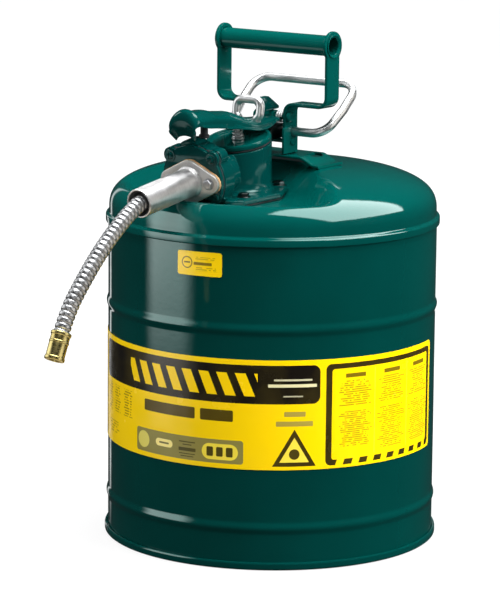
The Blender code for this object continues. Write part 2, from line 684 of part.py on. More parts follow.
# y, z, corner radius
HEEL = [(-24.5, 379.6, 1.5), (-22.0, 393.4, 4.0), (-11.5, 393.6, 5.0), (8.0, 381.6, 1.5)]
finish(flat("lever_heel_plate", [rounded(HEEL, 3)], 5.0, rot=SIDE), "enamel", lid_axis)

HINGE_PIN_LEN = 39.6
finish(turned("lever_hinge_pin",
              [(0, HINGE_PIN_LEN), (3.2, HINGE_PIN_LEN), (4.7, 38.2), (4.7, 36.6), (2.8, 36.6),
               (2.8, 2.9), (4.7, 2.9), (4.7, 1.4), (3.2, 0.0), (0, 0.0)],
              16, mm(-HINGE_PIN_LEN / 2, LID_Y, LID_Z), X_AXIS), "enamel")

# coil around the hinge pin, wound along X
coil = helix(LID_Y, LID_Z, 4.4, 11.4, radius=4.4, turns=3, per_turn=10, start=math.pi)
finish(wire("lid_spring", [(x, y, z) for y, z, x in coil], 0.8, 1), "zinc")

finish(turned("lever_bumper",
              [(0, 383.8), (2.6, 383.8), (3.3, 382.6), (3.3, 370.6), (4.6, 370.0),
               (4.6, 368.4), (0, 368.4)],
              12, mm(0, -104.0, 0)), "rubber")

# ---------------------------------------------------------------- handle
bracket_line = path([(-61, 335.6), (-50, 335.6), (-37, 341.2), (37, 341.2), (50, 335.6),
                     (61, 335.6)], [5, 6, 6, 5], 3)
bracket = to_mesh(flat("saddle_bracket", [ribbon(bracket_line, 2.4)], 38.0,
                       mm(0, 8.5, 0), FRONT))
boolean(bracket, [box(f"cut_slot_{i + 1}", (x - 5, 4, 330), (x + 5, 21, 350))
                  for i, x in enumerate((-35, 35))])
finish(bracket, "enamel")

# holes through the stem of each strap: radius, y, z
STEM_HOLES = [(TRIGGER_HOLE_R, TRIGGER_Y, TRIGGER_Z), (3.15, LID_Y, LID_Z),
              (SPACER_HOLE_R, SPACER_Y, SPACER_Z)]
# y, z, corner radius
CHEEK = [(-10.5, 343.0, 0), (11.0, 343.0, 0), (11.0, 366.5, 2.0), (-10.5, 366.5, 2.0)]
CHEEK_T = 2.4
CHEEK_X = STEM_X + STRAP_T / 2 + 0.3 + CHEEK_T / 2    # stands 0.3 off the strap


def handle_strap(side_name, sign):
    """Strap that rises beside the trigger, runs outward and up to the grip."""
    upright_x, stem_x = sign * UPRIGHT_X, sign * STEM_X
    line = path([(stem_x, 343.0), (stem_x, ARM_Z), (upright_x, ARM_Z),
                 (upright_x, GRIP_Z - 4)], [7.5, 8.5])
    strap = to_mesh(flat("handle_strap_" + side_name, [ribbon(line, STRAP_T)], STRAP_W,
                         mm(0, HANDLE_Y, 0), FRONT))
    boolean(strap, [round_bar("join_eye_" + side_name, 13.0, STRAP_T, 28,
                              mm(upright_x - STRAP_T / 2, HANDLE_Y, GRIP_Z), X_AXIS)], "UNION")
    boolean(strap, [round_bar(f"cut_eye_{side_name}_0", GRIP_R + 0.35, 12, 24,
                              mm(upright_x - 6, HANDLE_Y, GRIP_Z), X_AXIS)])
    boolean(strap, [round_bar(f"cut_stem_{side_name}_{k}", radius, 12, 14,
                              mm(stem_x - 6, y, z), X_AXIS)
                    for k, (radius, y, z) in enumerate(STEM_HOLES)])
    finish(strap, "enamel")


for side_name, sign in SIDES:
    handle_strap(side_name, sign)
    finish(flat("stem_cheek_" + side_name,
                [rounded(CHEEK, 2), circle(TRIGGER_Y, TRIGGER_Z, TRIGGER_HOLE_R, 14),
                 circle(SPACER_Y, SPACER_Z, SPACER_HOLE_R, 10)],
                CHEEK_T, mm(sign * CHEEK_X, 0, 0), SIDE), "enamel")

# one end of the grip, with its rolled lip
grip_end = [(GRIP_R - 1.4, GRIP_HALF - 1.6), (GRIP_R + 0.4, GRIP_HALF),
            (GRIP_R + 1.9, GRIP_HALF - 0.2), (GRIP_R + 1.5, GRIP_HALF - 1.7),
            (GRIP_R, GRIP_HALF - 2.4)]
finish(turned("grip_tube", grip_end + [(radius, -z) for radius, z in grip_end[::-1]],
              24, mm(0, HANDLE_Y, GRIP_Z), X_AXIS), "enamel")

SPACER_LEN = 40.4
finish(turned("stem_spacer_pin",
              [(0, SPACER_LEN), (2.6, SPACER_LEN), (3.6, 39.2), (3.6, 38.9), (1.95, 38.9),
               (1.95, 1.5), (3.6, 1.5), (3.6, 1.2), (2.6, 0.0), (0, 0.0)],
              12, mm(-SPACER_LEN / 2, SPACER_Y, SPACER_Z), X_AXIS), "enamel")

# ---------------------------------------------------------------- squeeze trigger
# right half of the bail: x, distance up the tilted plane from the trigger axis
BAIL_HALF = [(9.4, 0), (50.5, 0), (54.8, 30), (54.8, 62.0), (0, 62.0)]
bail_right = path([(x, TRIGGER_Y + rise * math.cos(BAIL_TILT),
                    TRIGGER_Z + rise * math.sin(BAIL_TILT)) for x, rise in BAIL_HALF],
                  [16, 20, 17])
bail_left = [(-x, y, z) for x, y, z in bail_right[-2::-1]]
finish(wire("trigger_bail", bail_right + bail_left, WIRE_R, 2), "zinc", trigger_axis)

# y, z, corner radius
CAM = [(13.0, 356.2, 5.5), (13.0, 368.0, 5.5), (-1.0, 368.6, 4.0), (-17.0, 365.6, 4.0),
       (-20.0, 359.0, 3.6), (-15.5, 355.2, 3.0), (-3.0, 356.0, 4.0)]
finish(flat("trigger_cam", [rounded(CAM, 3)], 18.2, rot=SIDE), "black_steel", trigger_axis)

# ---------------------------------------------------------------- valve under the trigger
# name, finish, parent, steps, profile (radius, height)
VALVE_PIECES = [
    ("valve_stem", "steel", valve_axis, 12,
     [(0, 354.6), (3.6, 354.6), (4.8, 353.4), (4.8, 350.4), (2.5, 350.2), (2.5, 284.4),
      (0, 284.4)]),
    ("valve_disc", "rubber", valve_axis, 20,
     [(0, 284.1), (8.2, 284.1), (8.8, 283.2), (8.8, 281.0), (5.0, 279.6), (0, 279.6)]),
    ("valve_seat_ring", "brass", None, 20,
     [(9.7, 290.4), (9.7, 284.6), (5.2, 284.6), (5.2, 290.4)]),
    ("valve_chamber", "steel", None, 20,
     [(12.0, 309.0), (12.0, 266.0), (10.0, 266.0), (10.0, 309.0)]),
    ("gland_nut", "brass", None, 6,
     [(4.7, 324.6), (5.3, 323.4), (5.3, 317.6), (2.95, 317.6), (2.95, 324.6)]),
    ("pour_flame_arrester", "screen", None, 20,
     [(0, 207.2), (10.0, 207.2), (10.0, 264.0), (11.0, 264.0), (11.0, 206.0), (0, 206.0)]),
]
for name, kind, parent, steps, profile in VALVE_PIECES:
    finish(turned(name, profile, steps, mm(0, VALVE_Y, 0)), kind, parent)

finish(wire("plunger_spring",
            helix(0, VALVE_Y, 326.0, 349.0, radius=4.3, turns=5, per_turn=8), 0.75, 1), "zinc")

# from the valve chamber round the fill tower's bore to the pour bore
transfer_path = path([(18.2, VALVE_Y, 278), (30, VALVE_Y, 278), (33, FILL_Y, 281),
                      (30, -92, 286), (0, POUR_Y, 288), (0, POUR_Y, 308.6)], [9, 20, 18, 8])
finish(wire("transfer_tube", transfer_path, 5.0, 2), "steel")

# ---------------------------------------------------------------- origin
# Put the origin at the middle of the rim's flat underside, straight below the spout.
for obj in bpy.data.objects:
    if obj.parent is None:
        obj.location.y += sum(RIM_FLAT) / 2 * MM
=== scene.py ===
"""A green safety gas can with a pour hose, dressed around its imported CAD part.

Row frame, metres: +Z up, origin on the bottom rim below the spout, hose towards -Y, handle
grip along X. Pieces are drawn in millimetres about the can's own upright axis, and SHIFT
moves them into the row frame. Left is -X, right is +X, front is -Y.
"""
import json
import math

import bmesh
import bpy
import numpy as np
from mathutils import Euler, Matrix, Vector

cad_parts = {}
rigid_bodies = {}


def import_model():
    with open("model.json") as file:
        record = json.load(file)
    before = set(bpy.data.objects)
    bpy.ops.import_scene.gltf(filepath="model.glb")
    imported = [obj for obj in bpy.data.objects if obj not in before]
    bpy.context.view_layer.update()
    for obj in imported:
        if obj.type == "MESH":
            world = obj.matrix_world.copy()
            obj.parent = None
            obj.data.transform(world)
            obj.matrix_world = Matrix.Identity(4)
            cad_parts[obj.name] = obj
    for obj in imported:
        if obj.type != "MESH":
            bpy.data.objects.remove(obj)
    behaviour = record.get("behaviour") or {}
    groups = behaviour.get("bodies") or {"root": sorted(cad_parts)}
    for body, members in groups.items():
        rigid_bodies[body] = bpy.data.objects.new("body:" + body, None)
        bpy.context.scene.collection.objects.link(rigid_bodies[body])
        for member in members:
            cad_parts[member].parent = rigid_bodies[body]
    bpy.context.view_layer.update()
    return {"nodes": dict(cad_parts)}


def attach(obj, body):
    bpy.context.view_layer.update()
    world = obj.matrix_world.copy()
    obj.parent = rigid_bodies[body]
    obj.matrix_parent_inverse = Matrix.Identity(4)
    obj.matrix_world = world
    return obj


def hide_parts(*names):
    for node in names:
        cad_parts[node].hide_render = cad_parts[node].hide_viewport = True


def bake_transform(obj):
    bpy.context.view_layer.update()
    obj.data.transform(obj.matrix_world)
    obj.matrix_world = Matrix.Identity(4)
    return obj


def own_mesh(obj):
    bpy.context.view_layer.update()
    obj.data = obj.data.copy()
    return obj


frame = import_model()
NODES = frame["nodes"]
MM = 0.001
PI = math.pi

# ---- driving dimensions, mm about the can's axis unless noted
AXIS_Y = 0.1454                   # the can's axis in the row frame, metres
SHIFT = Vector((0.0, AXIS_Y, 0.0))
WALL_R = 146.1
FILL_Y = -53.0                    # axis of the fill opening
POUR_Y = -16.5                    # axis of the pour valve
HINGE_Y, HINGE_Z = -1.0, 375.0    # lever hinge, along X
HANDLE_Y = 4.8                    # middle of the handle straps
PIVOT_Z = 362.0                   # trigger pivot, along X at HANDLE_Y
GRIP_Z = 440.0
FLANGE_BOLT_X = 20.6


# ---- frames
def place(x, y, z):
    return Matrix.Translation((x * MM, y * MM, z * MM))


def spin(angle, axis="Z"):
    return Matrix.Rotation(angle, 4, axis)


SPOUT_M = place(0, -121.2, 331.0) @ spin(math.radians(8.0), "X")
MOUTH_M = place(0, FILL_Y, 357.6) @ spin(math.radians(12.0), "X")
SIDE_M = Euler((PI / 2, 0, PI / 2)).to_matrix().to_4x4()  # local x -> world y, y -> z


def spout_axis(x=0.0, z=0.0):
    """Local +Z along the spout frame's +Y."""
    return SPOUT_M @ place(x, 0, z) @ spin(-PI / 2, "X")


def spout_face(x, y, z):
    """Local XY on the spout frame's XZ plane, local +Z out along its -Y."""
    return SPOUT_M @ place(x, y, z) @ spin(PI / 2, "X")


def along_x(x, y, z):
    """Local +Z along world +X."""
    return place(x, y, z) @ spin(PI / 2, "Y")


# ---- materials
class Shader:
    """Node material built on its Principled BSDF."""

    def __init__(self, name):
        self.material = bpy.data.materials.new(name)
        self.material.use_nodes = True
        self.tree = self.material.node_tree
        self.bsdf = self.tree.nodes["Principled BSDF"]

    def node(self, kind, props=None, **inputs):
        """Add a node; inputs go by name, or by place as i0, i1, ..."""
        node = self.tree.nodes.new(kind)
        for key, value in (props or {}).items():
            setattr(node, key, value)
        for key, value in inputs.items():
            by_place = key[0] == "i" and key[1:].isdigit()
            self.put(node.inputs[int(key[1:]) if by_place else key], value)
        return node

    def put(self, socket, value):
        if isinstance(value, bpy.types.NodeSocket):
            self.tree.links.new(value, socket)
        else:
            socket.default_value = value

    def set(self, **inputs):
        for key, value in inputs.items():
            self.put(self.bsdf.inputs[key.replace("_", " ")], value)

    def coords(self):
        return self.node("ShaderNodeTexCoord").outputs["Object"]

    def scaled(self, vector, scale):
        return self.node("ShaderNodeMapping", i0=vector, Scale=scale).outputs[0]

    def noise(self, vector, scale, detail=2.0, rough=0.5):
        return self.node("ShaderNodeTexNoise", Vector=vector, Scale=scale, Detail=detail,
                         Roughness=rough).outputs[0]

    def remap(self, value, low, high, to=(0.0, 1.0)):
        return self.node("ShaderNodeMapRange", i0=value, i1=low, i2=high,
                         i3=to[0], i4=to[1]).outputs[0]

    def calc(self, op, a, b=0.0, c=0.0):
        return self.node("ShaderNodeMath", {"operation": op}, i0=a, i1=b, i2=c).outputs[0]

    def vec(self, op, a, b=(0, 0, 0)):
        node = self.node("ShaderNodeVectorMath", {"operation": op}, i0=a)
        if op not in ("LENGTH", "ABSOLUTE"):
            self.put(node.inputs[1], b)
        return node.outputs["Value" if op in ("LENGTH", "DOT_PRODUCT") else 0]

    def mix(self, factor, a, b):
        node = self.node("ShaderNodeMix", {"data_type": "RGBA"}, i0=factor)
        for place_no, color in ((6, a), (7, b)):
            self.put(node.inputs[place_no],
                     (*color, 1.0) if isinstance(color, tuple) else color)
        return node.outputs[2]

    def bump(self, height, distance, normal=None):
        """Bump; distance is in metres."""
        node = self.node("ShaderNodeBump", Height=height, Distance=distance, Strength=1.0)
        if normal is not None:
            self.put(node.inputs["Normal"], normal)
        return node.outputs[0]


def brighter(rgb, gain, lift):
    return tuple(min(1.0, c * gain + lift) for c in rgb)


def enamel(name, dark, light, rough=(0.045, 0.10), peel=0.000035, grain=0.0):
    """Gloss paint, cloudy and worn on its edges; peel and grain are bump depths in metres."""
    mat = Shader(name)
    pos = mat.coords()
    cloud = mat.noise(pos, scale=11.0, detail=3.0)
    fine = mat.noise(pos, scale=420.0)
    ripple = mat.noise(pos, scale=170.0)
    smudge = mat.noise(pos, scale=34.0, detail=4.0, rough=0.62)
    color = mat.mix(mat.remap(cloud, low=0.3, high=0.7), dark, light)
    speck = mat.calc("GREATER_THAN", mat.noise(pos, scale=1500.0, detail=1.0), 0.77)
    color = mat.mix(mat.calc("MULTIPLY", speck, 0.10), color,
                    brighter(light, gain=1.5, lift=0.02))
    edge = mat.node("ShaderNodeNewGeometry").outputs["Pointiness"]
    worn = mat.calc("MULTIPLY", mat.remap(edge, low=0.56, high=0.66, to=(0.0, 0.35)),
                    mat.remap(smudge, low=0.4, high=0.6))
    color = mat.mix(worn, color, brighter(light, gain=1.7, lift=0.004))
    gloss = mat.remap(smudge, low=0.35, high=0.72, to=rough)
    normal = mat.bump(ripple, peel)
    normal = mat.bump(fine, peel * 0.35 + grain, normal)
    mat.set(Base_Color=color, Roughness=gloss, Normal=normal, IOR=1.5,
            Specular_Tint=(0.72, 1.0, 0.95, 1.0))
    return mat.material


def metal(name, dark, light, rough, lines=900.0, depth=0.000012, spot=0.2):
    """Bare metal: lines is the grain scale, depth its bump in metres, spot the blot strength."""
    mat = Shader(name)
    pos = mat.coords()
    grain = mat.noise(mat.scaled(pos, (1, 1, 1)), scale=lines, detail=3.0, rough=0.6)
    cloud = mat.noise(pos, scale=70.0, detail=3.0)
    blot = mat.noise(pos, scale=320.0, detail=3.0, rough=0.65)
    color = mat.mix(mat.remap(cloud, low=0.3, high=0.7), dark, light)
    color = mat.mix(mat.calc("MULTIPLY", mat.remap(blot, low=0.55, high=0.75), spot), color,
                    tuple(c * 0.55 for c in dark))
    mat.set(Base_Color=color, Metallic=1.0,
            Roughness=mat.remap(grain, low=0.25, high=0.75, to=rough),
            Normal=mat.bump(grain, depth))
    return mat.material


def brushed_tube(name, dark, light, rough, pitch, depth):
    """Brushed round the spout axis: fine lines that vary only along it. Lengths in metres."""
    mat = Shader(name)
    pos = mat.coords()
    along = mat.vec("DOT_PRODUCT", pos, tuple(SPOUT_M.to_3x3().col[1]))
    line = mat.node("ShaderNodeTexNoise", {"noise_dimensions": "1D"},
                    W=mat.calc("MULTIPLY", along, 1.0 / pitch), Scale=1.0, Detail=4.0,
                    Roughness=0.7).outputs[0]
    patch = mat.noise(pos, scale=90.0, detail=3.0, rough=0.6)
    brush = mat.calc("MULTIPLY_ADD", patch, 0.45, mat.calc("MULTIPLY", line, 0.55))
    mat.set(Base_Color=mat.mix(mat.remap(brush, low=0.36, high=0.64), dark, light),
            Metallic=1.0, Roughness=mat.remap(brush, low=0.3, high=0.7, to=rough),
            Normal=mat.bump(line, depth), Anisotropic=0.5)
    return mat.material


def rubber(name, base=(0.012, 0.012, 0.013)):
    mat = Shader(name)
    pos = mat.coords()
    fine = mat.noise(pos, scale=700.0, detail=3.0)
    cloud = mat.remap(mat.noise(pos, scale=60.0, detail=3.0), low=0.35, high=0.65)
    mat.set(Base_Color=mat.mix(cloud, base, tuple(c * 2.2 for c in base)),
            Roughness=mat.remap(fine, low=0.3, high=0.7, to=(0.45, 0.7)),
            Normal=mat.bump(fine, 0.00003))
    return mat.material


def fibre(name):
    mat = Shader(name)
    strand = mat.noise(mat.scaled(mat.coords(), (1, 1, 3)), scale=900.0, detail=4.0, rough=0.7)
    color = mat.mix(mat.remap(strand, low=0.3, high=0.7), (0.30, 0.15, 0.06),
                    (0.62, 0.40, 0.20))
    mat.set(Base_Color=color, Roughness=0.85, Normal=mat.bump(strand, 0.00006))
    return mat.material


def screen(name, axis_y):
    """Woven wire on an upright cylinder at axis_y (metres): angle round it against height."""
    waves_round, waves_up = 110.0, 5200.0    # radians of weave per radian, and per metre
    mat = Shader(name)
    sep = mat.node("ShaderNodeSeparateXYZ",
                   i0=mat.vec("SUBTRACT", mat.coords(), (0.0, axis_y, 0.0))).outputs
    angle = mat.calc("ARCTAN2", sep[1], sep[0])
    upright = mat.calc("SINE", mat.calc("MULTIPLY", angle, waves_round))
    level = mat.calc("SINE", mat.calc("MULTIPLY", sep[2], waves_up))
    weave = mat.calc("MAXIMUM", upright, level)
    color = mat.mix(mat.remap(weave, low=-0.4, high=0.6), (0.03, 0.03, 0.03),
                    (0.55, 0.54, 0.50))
    mat.set(Base_Color=color, Metallic=0.9, Roughness=0.4, Normal=mat.bump(weave, 0.0001))
    return mat.material


YELLOW = (1.0, 0.655, 0.0)
INK = (0.008, 0.006, 0.004)
OLIVE = (0.26, 0.22, 0.055)
CREAM = (0.75, 0.70, 0.45)


class Label(Shader):
    """Printed label on yellow: plain shapes laid out in millimetres on the UV map."""

    def __init__(self, name):
        super().__init__(name)
        self.uv = self.node("ShaderNodeUVMap", {"uv_map": "mm"}).outputs[0]
        sep = self.node("ShaderNodeSeparateXYZ", i0=self.uv).outputs
        self.u, self.v = sep[0], sep[1]
        self.color = YELLOW

    def box(self, u0, u1, v0, v1, r):
        """Box with corners of radius r."""
        centre = ((u0 + u1) / 2, (v0 + v1) / 2, 0.0)
        half = ((u1 - u0) / 2 - r, (v1 - v0) / 2 - r, 1.0)
        past = self.vec("SUBTRACT",
                        self.vec("ABSOLUTE", self.vec("SUBTRACT", self.uv, centre)), half)
        return self.calc("LESS_THAN",
                         self.vec("LENGTH", self.vec("MAXIMUM", past, (0, 0, 0))), r)

    def disc(self, u, v, r):
        return self.calc("LESS_THAN",
                         self.vec("LENGTH", self.vec("SUBTRACT", self.uv, (u, v, 0.0))), r)

    def both(self, a, b):
        return self.calc("MULTIPLY", a, b)

    def without(self, a, b):
        return self.calc("MULTIPLY", a, self.calc("SUBTRACT", 1.0, b))

    def ink(self, mask, rgb, strength=1.0):
        if strength != 1.0:
            mask = self.calc("MULTIPLY", mask, strength)
        self.color = self.mix(mask, self.color, rgb)

    def boxes(self, rows):
        """Rows of u0, u1, v0, v1, corner radius, ink, strength."""
        for *box, rgb, strength in rows:
            self.ink(self.box(*box), rgb, strength)

    def polygon(self, points):
        """Convex, listed anticlockwise."""
        mask = None
        for (x0, y0), (x1, y1) in zip(points, points[1:] + points[:1]):
            dx, dy = x1 - x0, y1 - y0
            length = math.hypot(dx, dy)
            out = self.calc(
                "ADD",
                self.calc("MULTIPLY", self.calc("SUBTRACT", self.u, x0), dy / length),
                self.calc("MULTIPLY", self.calc("SUBTRACT", self.v, y0), -dx / length))
            inside = self.calc("LESS_THAN", out, 0.0)
            mask = inside if mask is None else self.both(mask, inside)
        return mask

    def stripes(self, pitch, duty, slant, shift):
        slanted = self.calc("ADD", self.u, self.calc("MULTIPLY", self.v, slant))
        turns = self.calc("ADD", self.calc("MULTIPLY", slanted, 1.0 / pitch), shift)
        return self.calc("LESS_THAN", self.calc("FRACT", turns), duty)

    def dashes(self, u0, u1, v0, v1, pitch, seed, strength, duty=0.52, short=0.55):
        """Centred rows of short dashes. duty is the inked share of a row's height, short
        the least share of the width a row takes."""
        dash = 1.9
        row = self.calc("FLOOR", self.calc("MULTIPLY", self.v, 1.0 / pitch))
        in_row = self.calc("LESS_THAN", self.calc(
            "FRACT", self.calc("MULTIPLY", self.v, 1.0 / pitch)), duty)
        random = self.node("ShaderNodeTexWhiteNoise", {"noise_dimensions": "1D"},
                           W=self.calc("ADD", row, seed)).outputs[0]
        reach = self.calc("MULTIPLY", self.calc("MULTIPLY_ADD", random, 1.0 - short, short),
                          (u1 - u0) / 2)
        near = self.calc("LESS_THAN", self.calc(
            "ABSOLUTE", self.calc("SUBTRACT", self.u, (u0 + u1) / 2)), reach)
        cell = self.calc("MULTIPLY_ADD", self.u, 1.0 / dash,
                         self.calc("MULTIPLY", random, 7.0))
        cell_row = self.node("ShaderNodeCombineXYZ", i0=self.calc("FLOOR", cell), i1=row)
        word = self.node("ShaderNodeTexWhiteNoise", {"noise_dimensions": "2D"},
                         Vector=cell_row.outputs[0]).outputs[0]
        inked = self.calc("GREATER_THAN", word, 0.2)
        area = self.box(u0, u1, v0, v1, 0.1)
        self.ink(self.both(self.both(self.both(in_row, near), inked), area), INK, strength)

    def done(self):
        pos = self.coords()
        fade = self.noise(pos, scale=26.0, detail=3.0)
        color = self.mix(self.remap(fade, low=0.35, high=0.75, to=(0.0, 0.06)), self.color,
                         (0.55, 0.40, 0.05))
        gloss = self.noise(pos, scale=60.0, detail=3.0)
        self.set(Base_Color=color, Roughness=self.remap(gloss, low=0.3, high=0.7, to=(0.16, 0.28)),
                 Normal=self.bump(self.noise(pos, scale=500.0), 0.000015), IOR=1.45)
        return self.material


ENAMEL = enamel("enamel_green", dark=(0.0, 0.034, 0.0295), light=(0.0, 0.041, 0.0355))
HANDLE_ENAMEL = enamel("enamel_green_handle", dark=(0.0, 0.044, 0.037),
                       light=(0.0, 0.055, 0.046), rough=(0.07, 0.16), peel=0.00003)
LEVER_ENAMEL = enamel("enamel_green_lever", dark=(0.0, 0.027, 0.024),
                      light=(0.0, 0.036, 0.032), rough=(0.07, 0.16), peel=0.00003)
CAST_ENAMEL = enamel("enamel_green_cast", dark=(0.0, 0.024, 0.022),
                     light=(0.0, 0.034, 0.031), rough=(0.08, 0.2), peel=0.00006, grain=0.00001)
ZINC = metal("zinc_wire", dark=(0.70, 0.72, 0.73), light=(0.86, 0.87, 0.87),
             rough=(0.30, 0.42), lines=300.0, depth=0.000003, spot=0.15)
ZINC_PLATE = metal("zinc_plate", dark=(0.66, 0.66, 0.64), light=(0.86, 0.85, 0.83),
                   rough=(0.36, 0.5), lines=700.0, depth=0.000008)
TUBE_STEEL = brushed_tube("brushed_tube", dark=(0.66, 0.66, 0.67), light=(0.90, 0.90, 0.90),
                          rough=(0.34, 0.50), pitch=0.0009, depth=0.000008)
HOSE_STEEL = metal("hose_steel", dark=(0.36, 0.37, 0.38), light=(0.60, 0.61, 0.62),
                   rough=(0.30, 0.42), lines=700.0, depth=0.000004, spot=0.25)
STEEL = metal("plain_steel", dark=(0.38, 0.39, 0.41), light=(0.60, 0.61, 0.63),
              rough=(0.25, 0.45), lines=600.0, depth=0.00001, spot=0.3)
BRASS = metal("brass", dark=(0.50, 0.40, 0.12), light=(0.80, 0.68, 0.30),
              rough=(0.2, 0.38), lines=700.0, depth=0.00001, spot=0.35)
BLACK_STEEL = metal("dark_screw", dark=(0.05, 0.06, 0.06), light=(0.13, 0.15, 0.15),
                    rough=(0.25, 0.45), lines=600.0, depth=0.00001)
RUBBER = rubber("rubber_black")
FIBRE = fibre("fibre_gasket")
FILL_SCREEN = screen("screen_fill", AXIS_Y + FILL_Y * MM)
POUR_SCREEN = screen("screen_pour", AXIS_Y + POUR_Y * MM)


# ---- mesh helpers; outlines and paths are in mm, meshes in metres
def raw(verts, faces, matrix=None):
    me = bpy.data.meshes.new("part")
    me.from_pydata([tuple(v) for v in verts], [], faces)
    if matrix is not None:
        me.transform(matrix)
    return me


def arc_corner(before, corner, after, radius, seg):
    before, corner, after = Vector(before), Vector(corner), Vector(after)
    back, ahead = before - corner, after - corner
    back_len, ahead_len = back.length, ahead.length
    if radius <= 0 or back_len < 1e-9 or ahead_len < 1e-9:
        return [corner]
    back, ahead = back / back_len, ahead / ahead_len
    half = math.acos(max(-1, min(1, back.dot(ahead)))) / 2
    if half > PI / 2 - 1e-3:
        return [corner]
    reach = min(radius / math.tan(half), 0.49 * back_len, 0.49 * ahead_len)
    fitted = reach * math.tan(half)
    centre = corner + (back + ahead).normalized() * (fitted / math.sin(half))
    start, end = corner + back * reach - centre, corner + ahead * reach - centre
    angle = start.angle(end)
    return [centre + (start * math.sin((1 - k / seg) * angle) + end * math.sin(k / seg * angle))
            / math.sin(angle) for k in range(seg + 1)]


def fillet(points, radii, seg=6):
    """Round the corners of a loop; a radius of 0 keeps the point, as at an open line's ends."""
    count = len(points)
    if not isinstance(radii, list):
        radii = [radii] * count
    out = []
    for i in range(count):
        out += arc_corner(points[i - 1], points[i], points[(i + 1) % count], radii[i], seg)
    return [tuple(p) for p in out]


def circle(cx, cy, r, count=32):
    return [(cx + r * math.cos(2 * PI * i / count), cy + r * math.sin(2 * PI * i / count))
            for i in range(count)]


def lathe(profile, seg=96, matrix=None):
    """Turn (radius, height) about Z. The profile is a loop, or starts and ends on the axis."""
    verts, rings = [], []
    for r, z in profile:
        if r < 1e-6:
            rings.append([len(verts)])
            verts.append((0.0, 0.0, z * MM))
            continue
        rings.append(list(range(len(verts), len(verts) + seg)))
        for i in range(seg):
            angle = 2 * PI * i / seg
            verts.append((r * math.cos(angle) * MM, r * math.sin(angle) * MM, z * MM))
    faces = []
    for a, b in zip(rings, rings[1:] + rings[:1]):
        if len(a) == 1 and len(b) == 1:
            continue
        for i in range(seg):
            j = (i + 1) % seg
            if len(a) == 1:
                faces.append((a[0], b[i], b[j]))
            elif len(b) == 1:
                faces.append((a[i], b[0], a[j]))
            else:
                faces.append((a[i], b[i], b[j], a[j]))
    return raw(verts, faces, matrix)


def rod(r, z0, z1, seg, matrix):
    return lathe([(0, z0), (r, z0), (r, z1), (0, z1)], seg, matrix)


def tube(points, sections, up=Vector((0, 0, 1))):
    """Sweep one section per point along the points, capped. Frames carry along untwisted."""
    pts = [Vector(p) for p in points]
    last = len(pts) - 1
    tangents = [(pts[min(i + 1, last)] - pts[max(i - 1, 0)]).normalized()
                for i in range(last + 1)]
    normal = (up - tangents[0] * up.dot(tangents[0])).normalized()
    verts, rings = [], []
    for point, tangent, section in zip(pts, tangents, sections):
        normal = (normal - tangent * normal.dot(tangent)).normalized()
        side = tangent.cross(normal)
        rings.append(list(range(len(verts), len(verts) + len(section))))
        for x, y in section:
            verts.append((point + normal * x + side * y) * MM)
    faces = []
    count = len(rings[0])
    for a, b in zip(rings, rings[1:]):
        for i in range(count):
            j = (i + 1) % count
            faces.append((a[i], a[j], b[j], b[i]))
    faces += [tuple(rings[0][::-1]), tuple(rings[-1])]
    return raw(verts, faces)


def wire(points, radius, seg=20):
    """Round wire with softly rounded ends."""
    pts = [Vector(p) for p in points]
    head, tail = (pts[1] - pts[0]).normalized(), (pts[-1] - pts[-2]).normalized()
    soft_end = min(0.9, radius * 0.3)
    pts = ([pts[0], pts[0] + head * soft_end * 0.4, pts[0] + head * soft_end] + pts[1:-1]
           + [pts[-1] - tail * soft_end, pts[-1] - tail * soft_end * 0.4, pts[-1]])
    ends = [radius - soft_end, radius - soft_end * 0.35]
    radii = ends + [radius] * (len(pts) - 4) + ends[::-1]
    return tube([tuple(p) for p in pts], [circle(0, 0, r, seg) for r in radii])


def coil(cx, cy, z0, z1, r, turns, wire_r):
    """Upright coil spring with flat end turns."""
    per_turn = 36
    count = int(turns * per_turn)
    pts = []
    for i in range(count + 1):
        rise = min(1, max(0, (i / count * turns - 0.75) / (turns - 1.5)))
        angle = 2 * PI * i / per_turn
        pts.append((cx + r * math.cos(angle), cy + r * math.sin(angle), z0 + (z1 - z0) * rise))
    return wire(pts, wire_r, 12)


def strip(path, width, thick, y):
    """Strip with rounded edges along a line in the XZ plane at y."""
    section = fillet([(-thick / 2, -width / 2), (thick / 2, -width / 2),
                      (thick / 2, width / 2), (-thick / 2, width / 2)], 0.7, 3)
    pts = [(x, y, z) for x, z in path]
    first = Vector(pts[1]) - Vector(pts[0])
    return tube(pts, [section] * len(pts), up=Vector((first.z, 0, -first.x)).normalized())


def scratch(data):
    ob = bpy.data.objects.new("scratch", data)
    bpy.context.scene.collection.objects.link(ob)
    return ob


def harvest(ob):
    """Evaluated mesh of a scratch object, which is then removed."""
    bpy.context.view_layer.update()
    me = bpy.data.meshes.new_from_object(
        ob.evaluated_get(bpy.context.evaluated_depsgraph_get()))
    bpy.data.objects.remove(ob, do_unlink=True)
    return me


def plate(outline, holes, thick, bevel, matrix):
    """Flat plate with rounded edges: local XY outline, centred on its thickness."""
    curve = bpy.data.curves.new("plate", "CURVE")
    curve.dimensions = "2D"
    curve.fill_mode = "BOTH"
    curve.bevel_depth = bevel * MM
    curve.bevel_resolution = 2
    curve.offset = -bevel * MM
    curve.extrude = (thick / 2 - bevel) * MM
    for loop in [outline] + holes:
        spline = curve.splines.new("POLY")
        spline.points.add(len(loop) - 1)
        for point, (x, y) in zip(spline.points, loop):
            point.co = (x * MM, y * MM, 0.0, 1.0)
        spline.use_cyclic_u = True
    me = harvest(scratch(curve))
    me.transform(matrix)
    return me


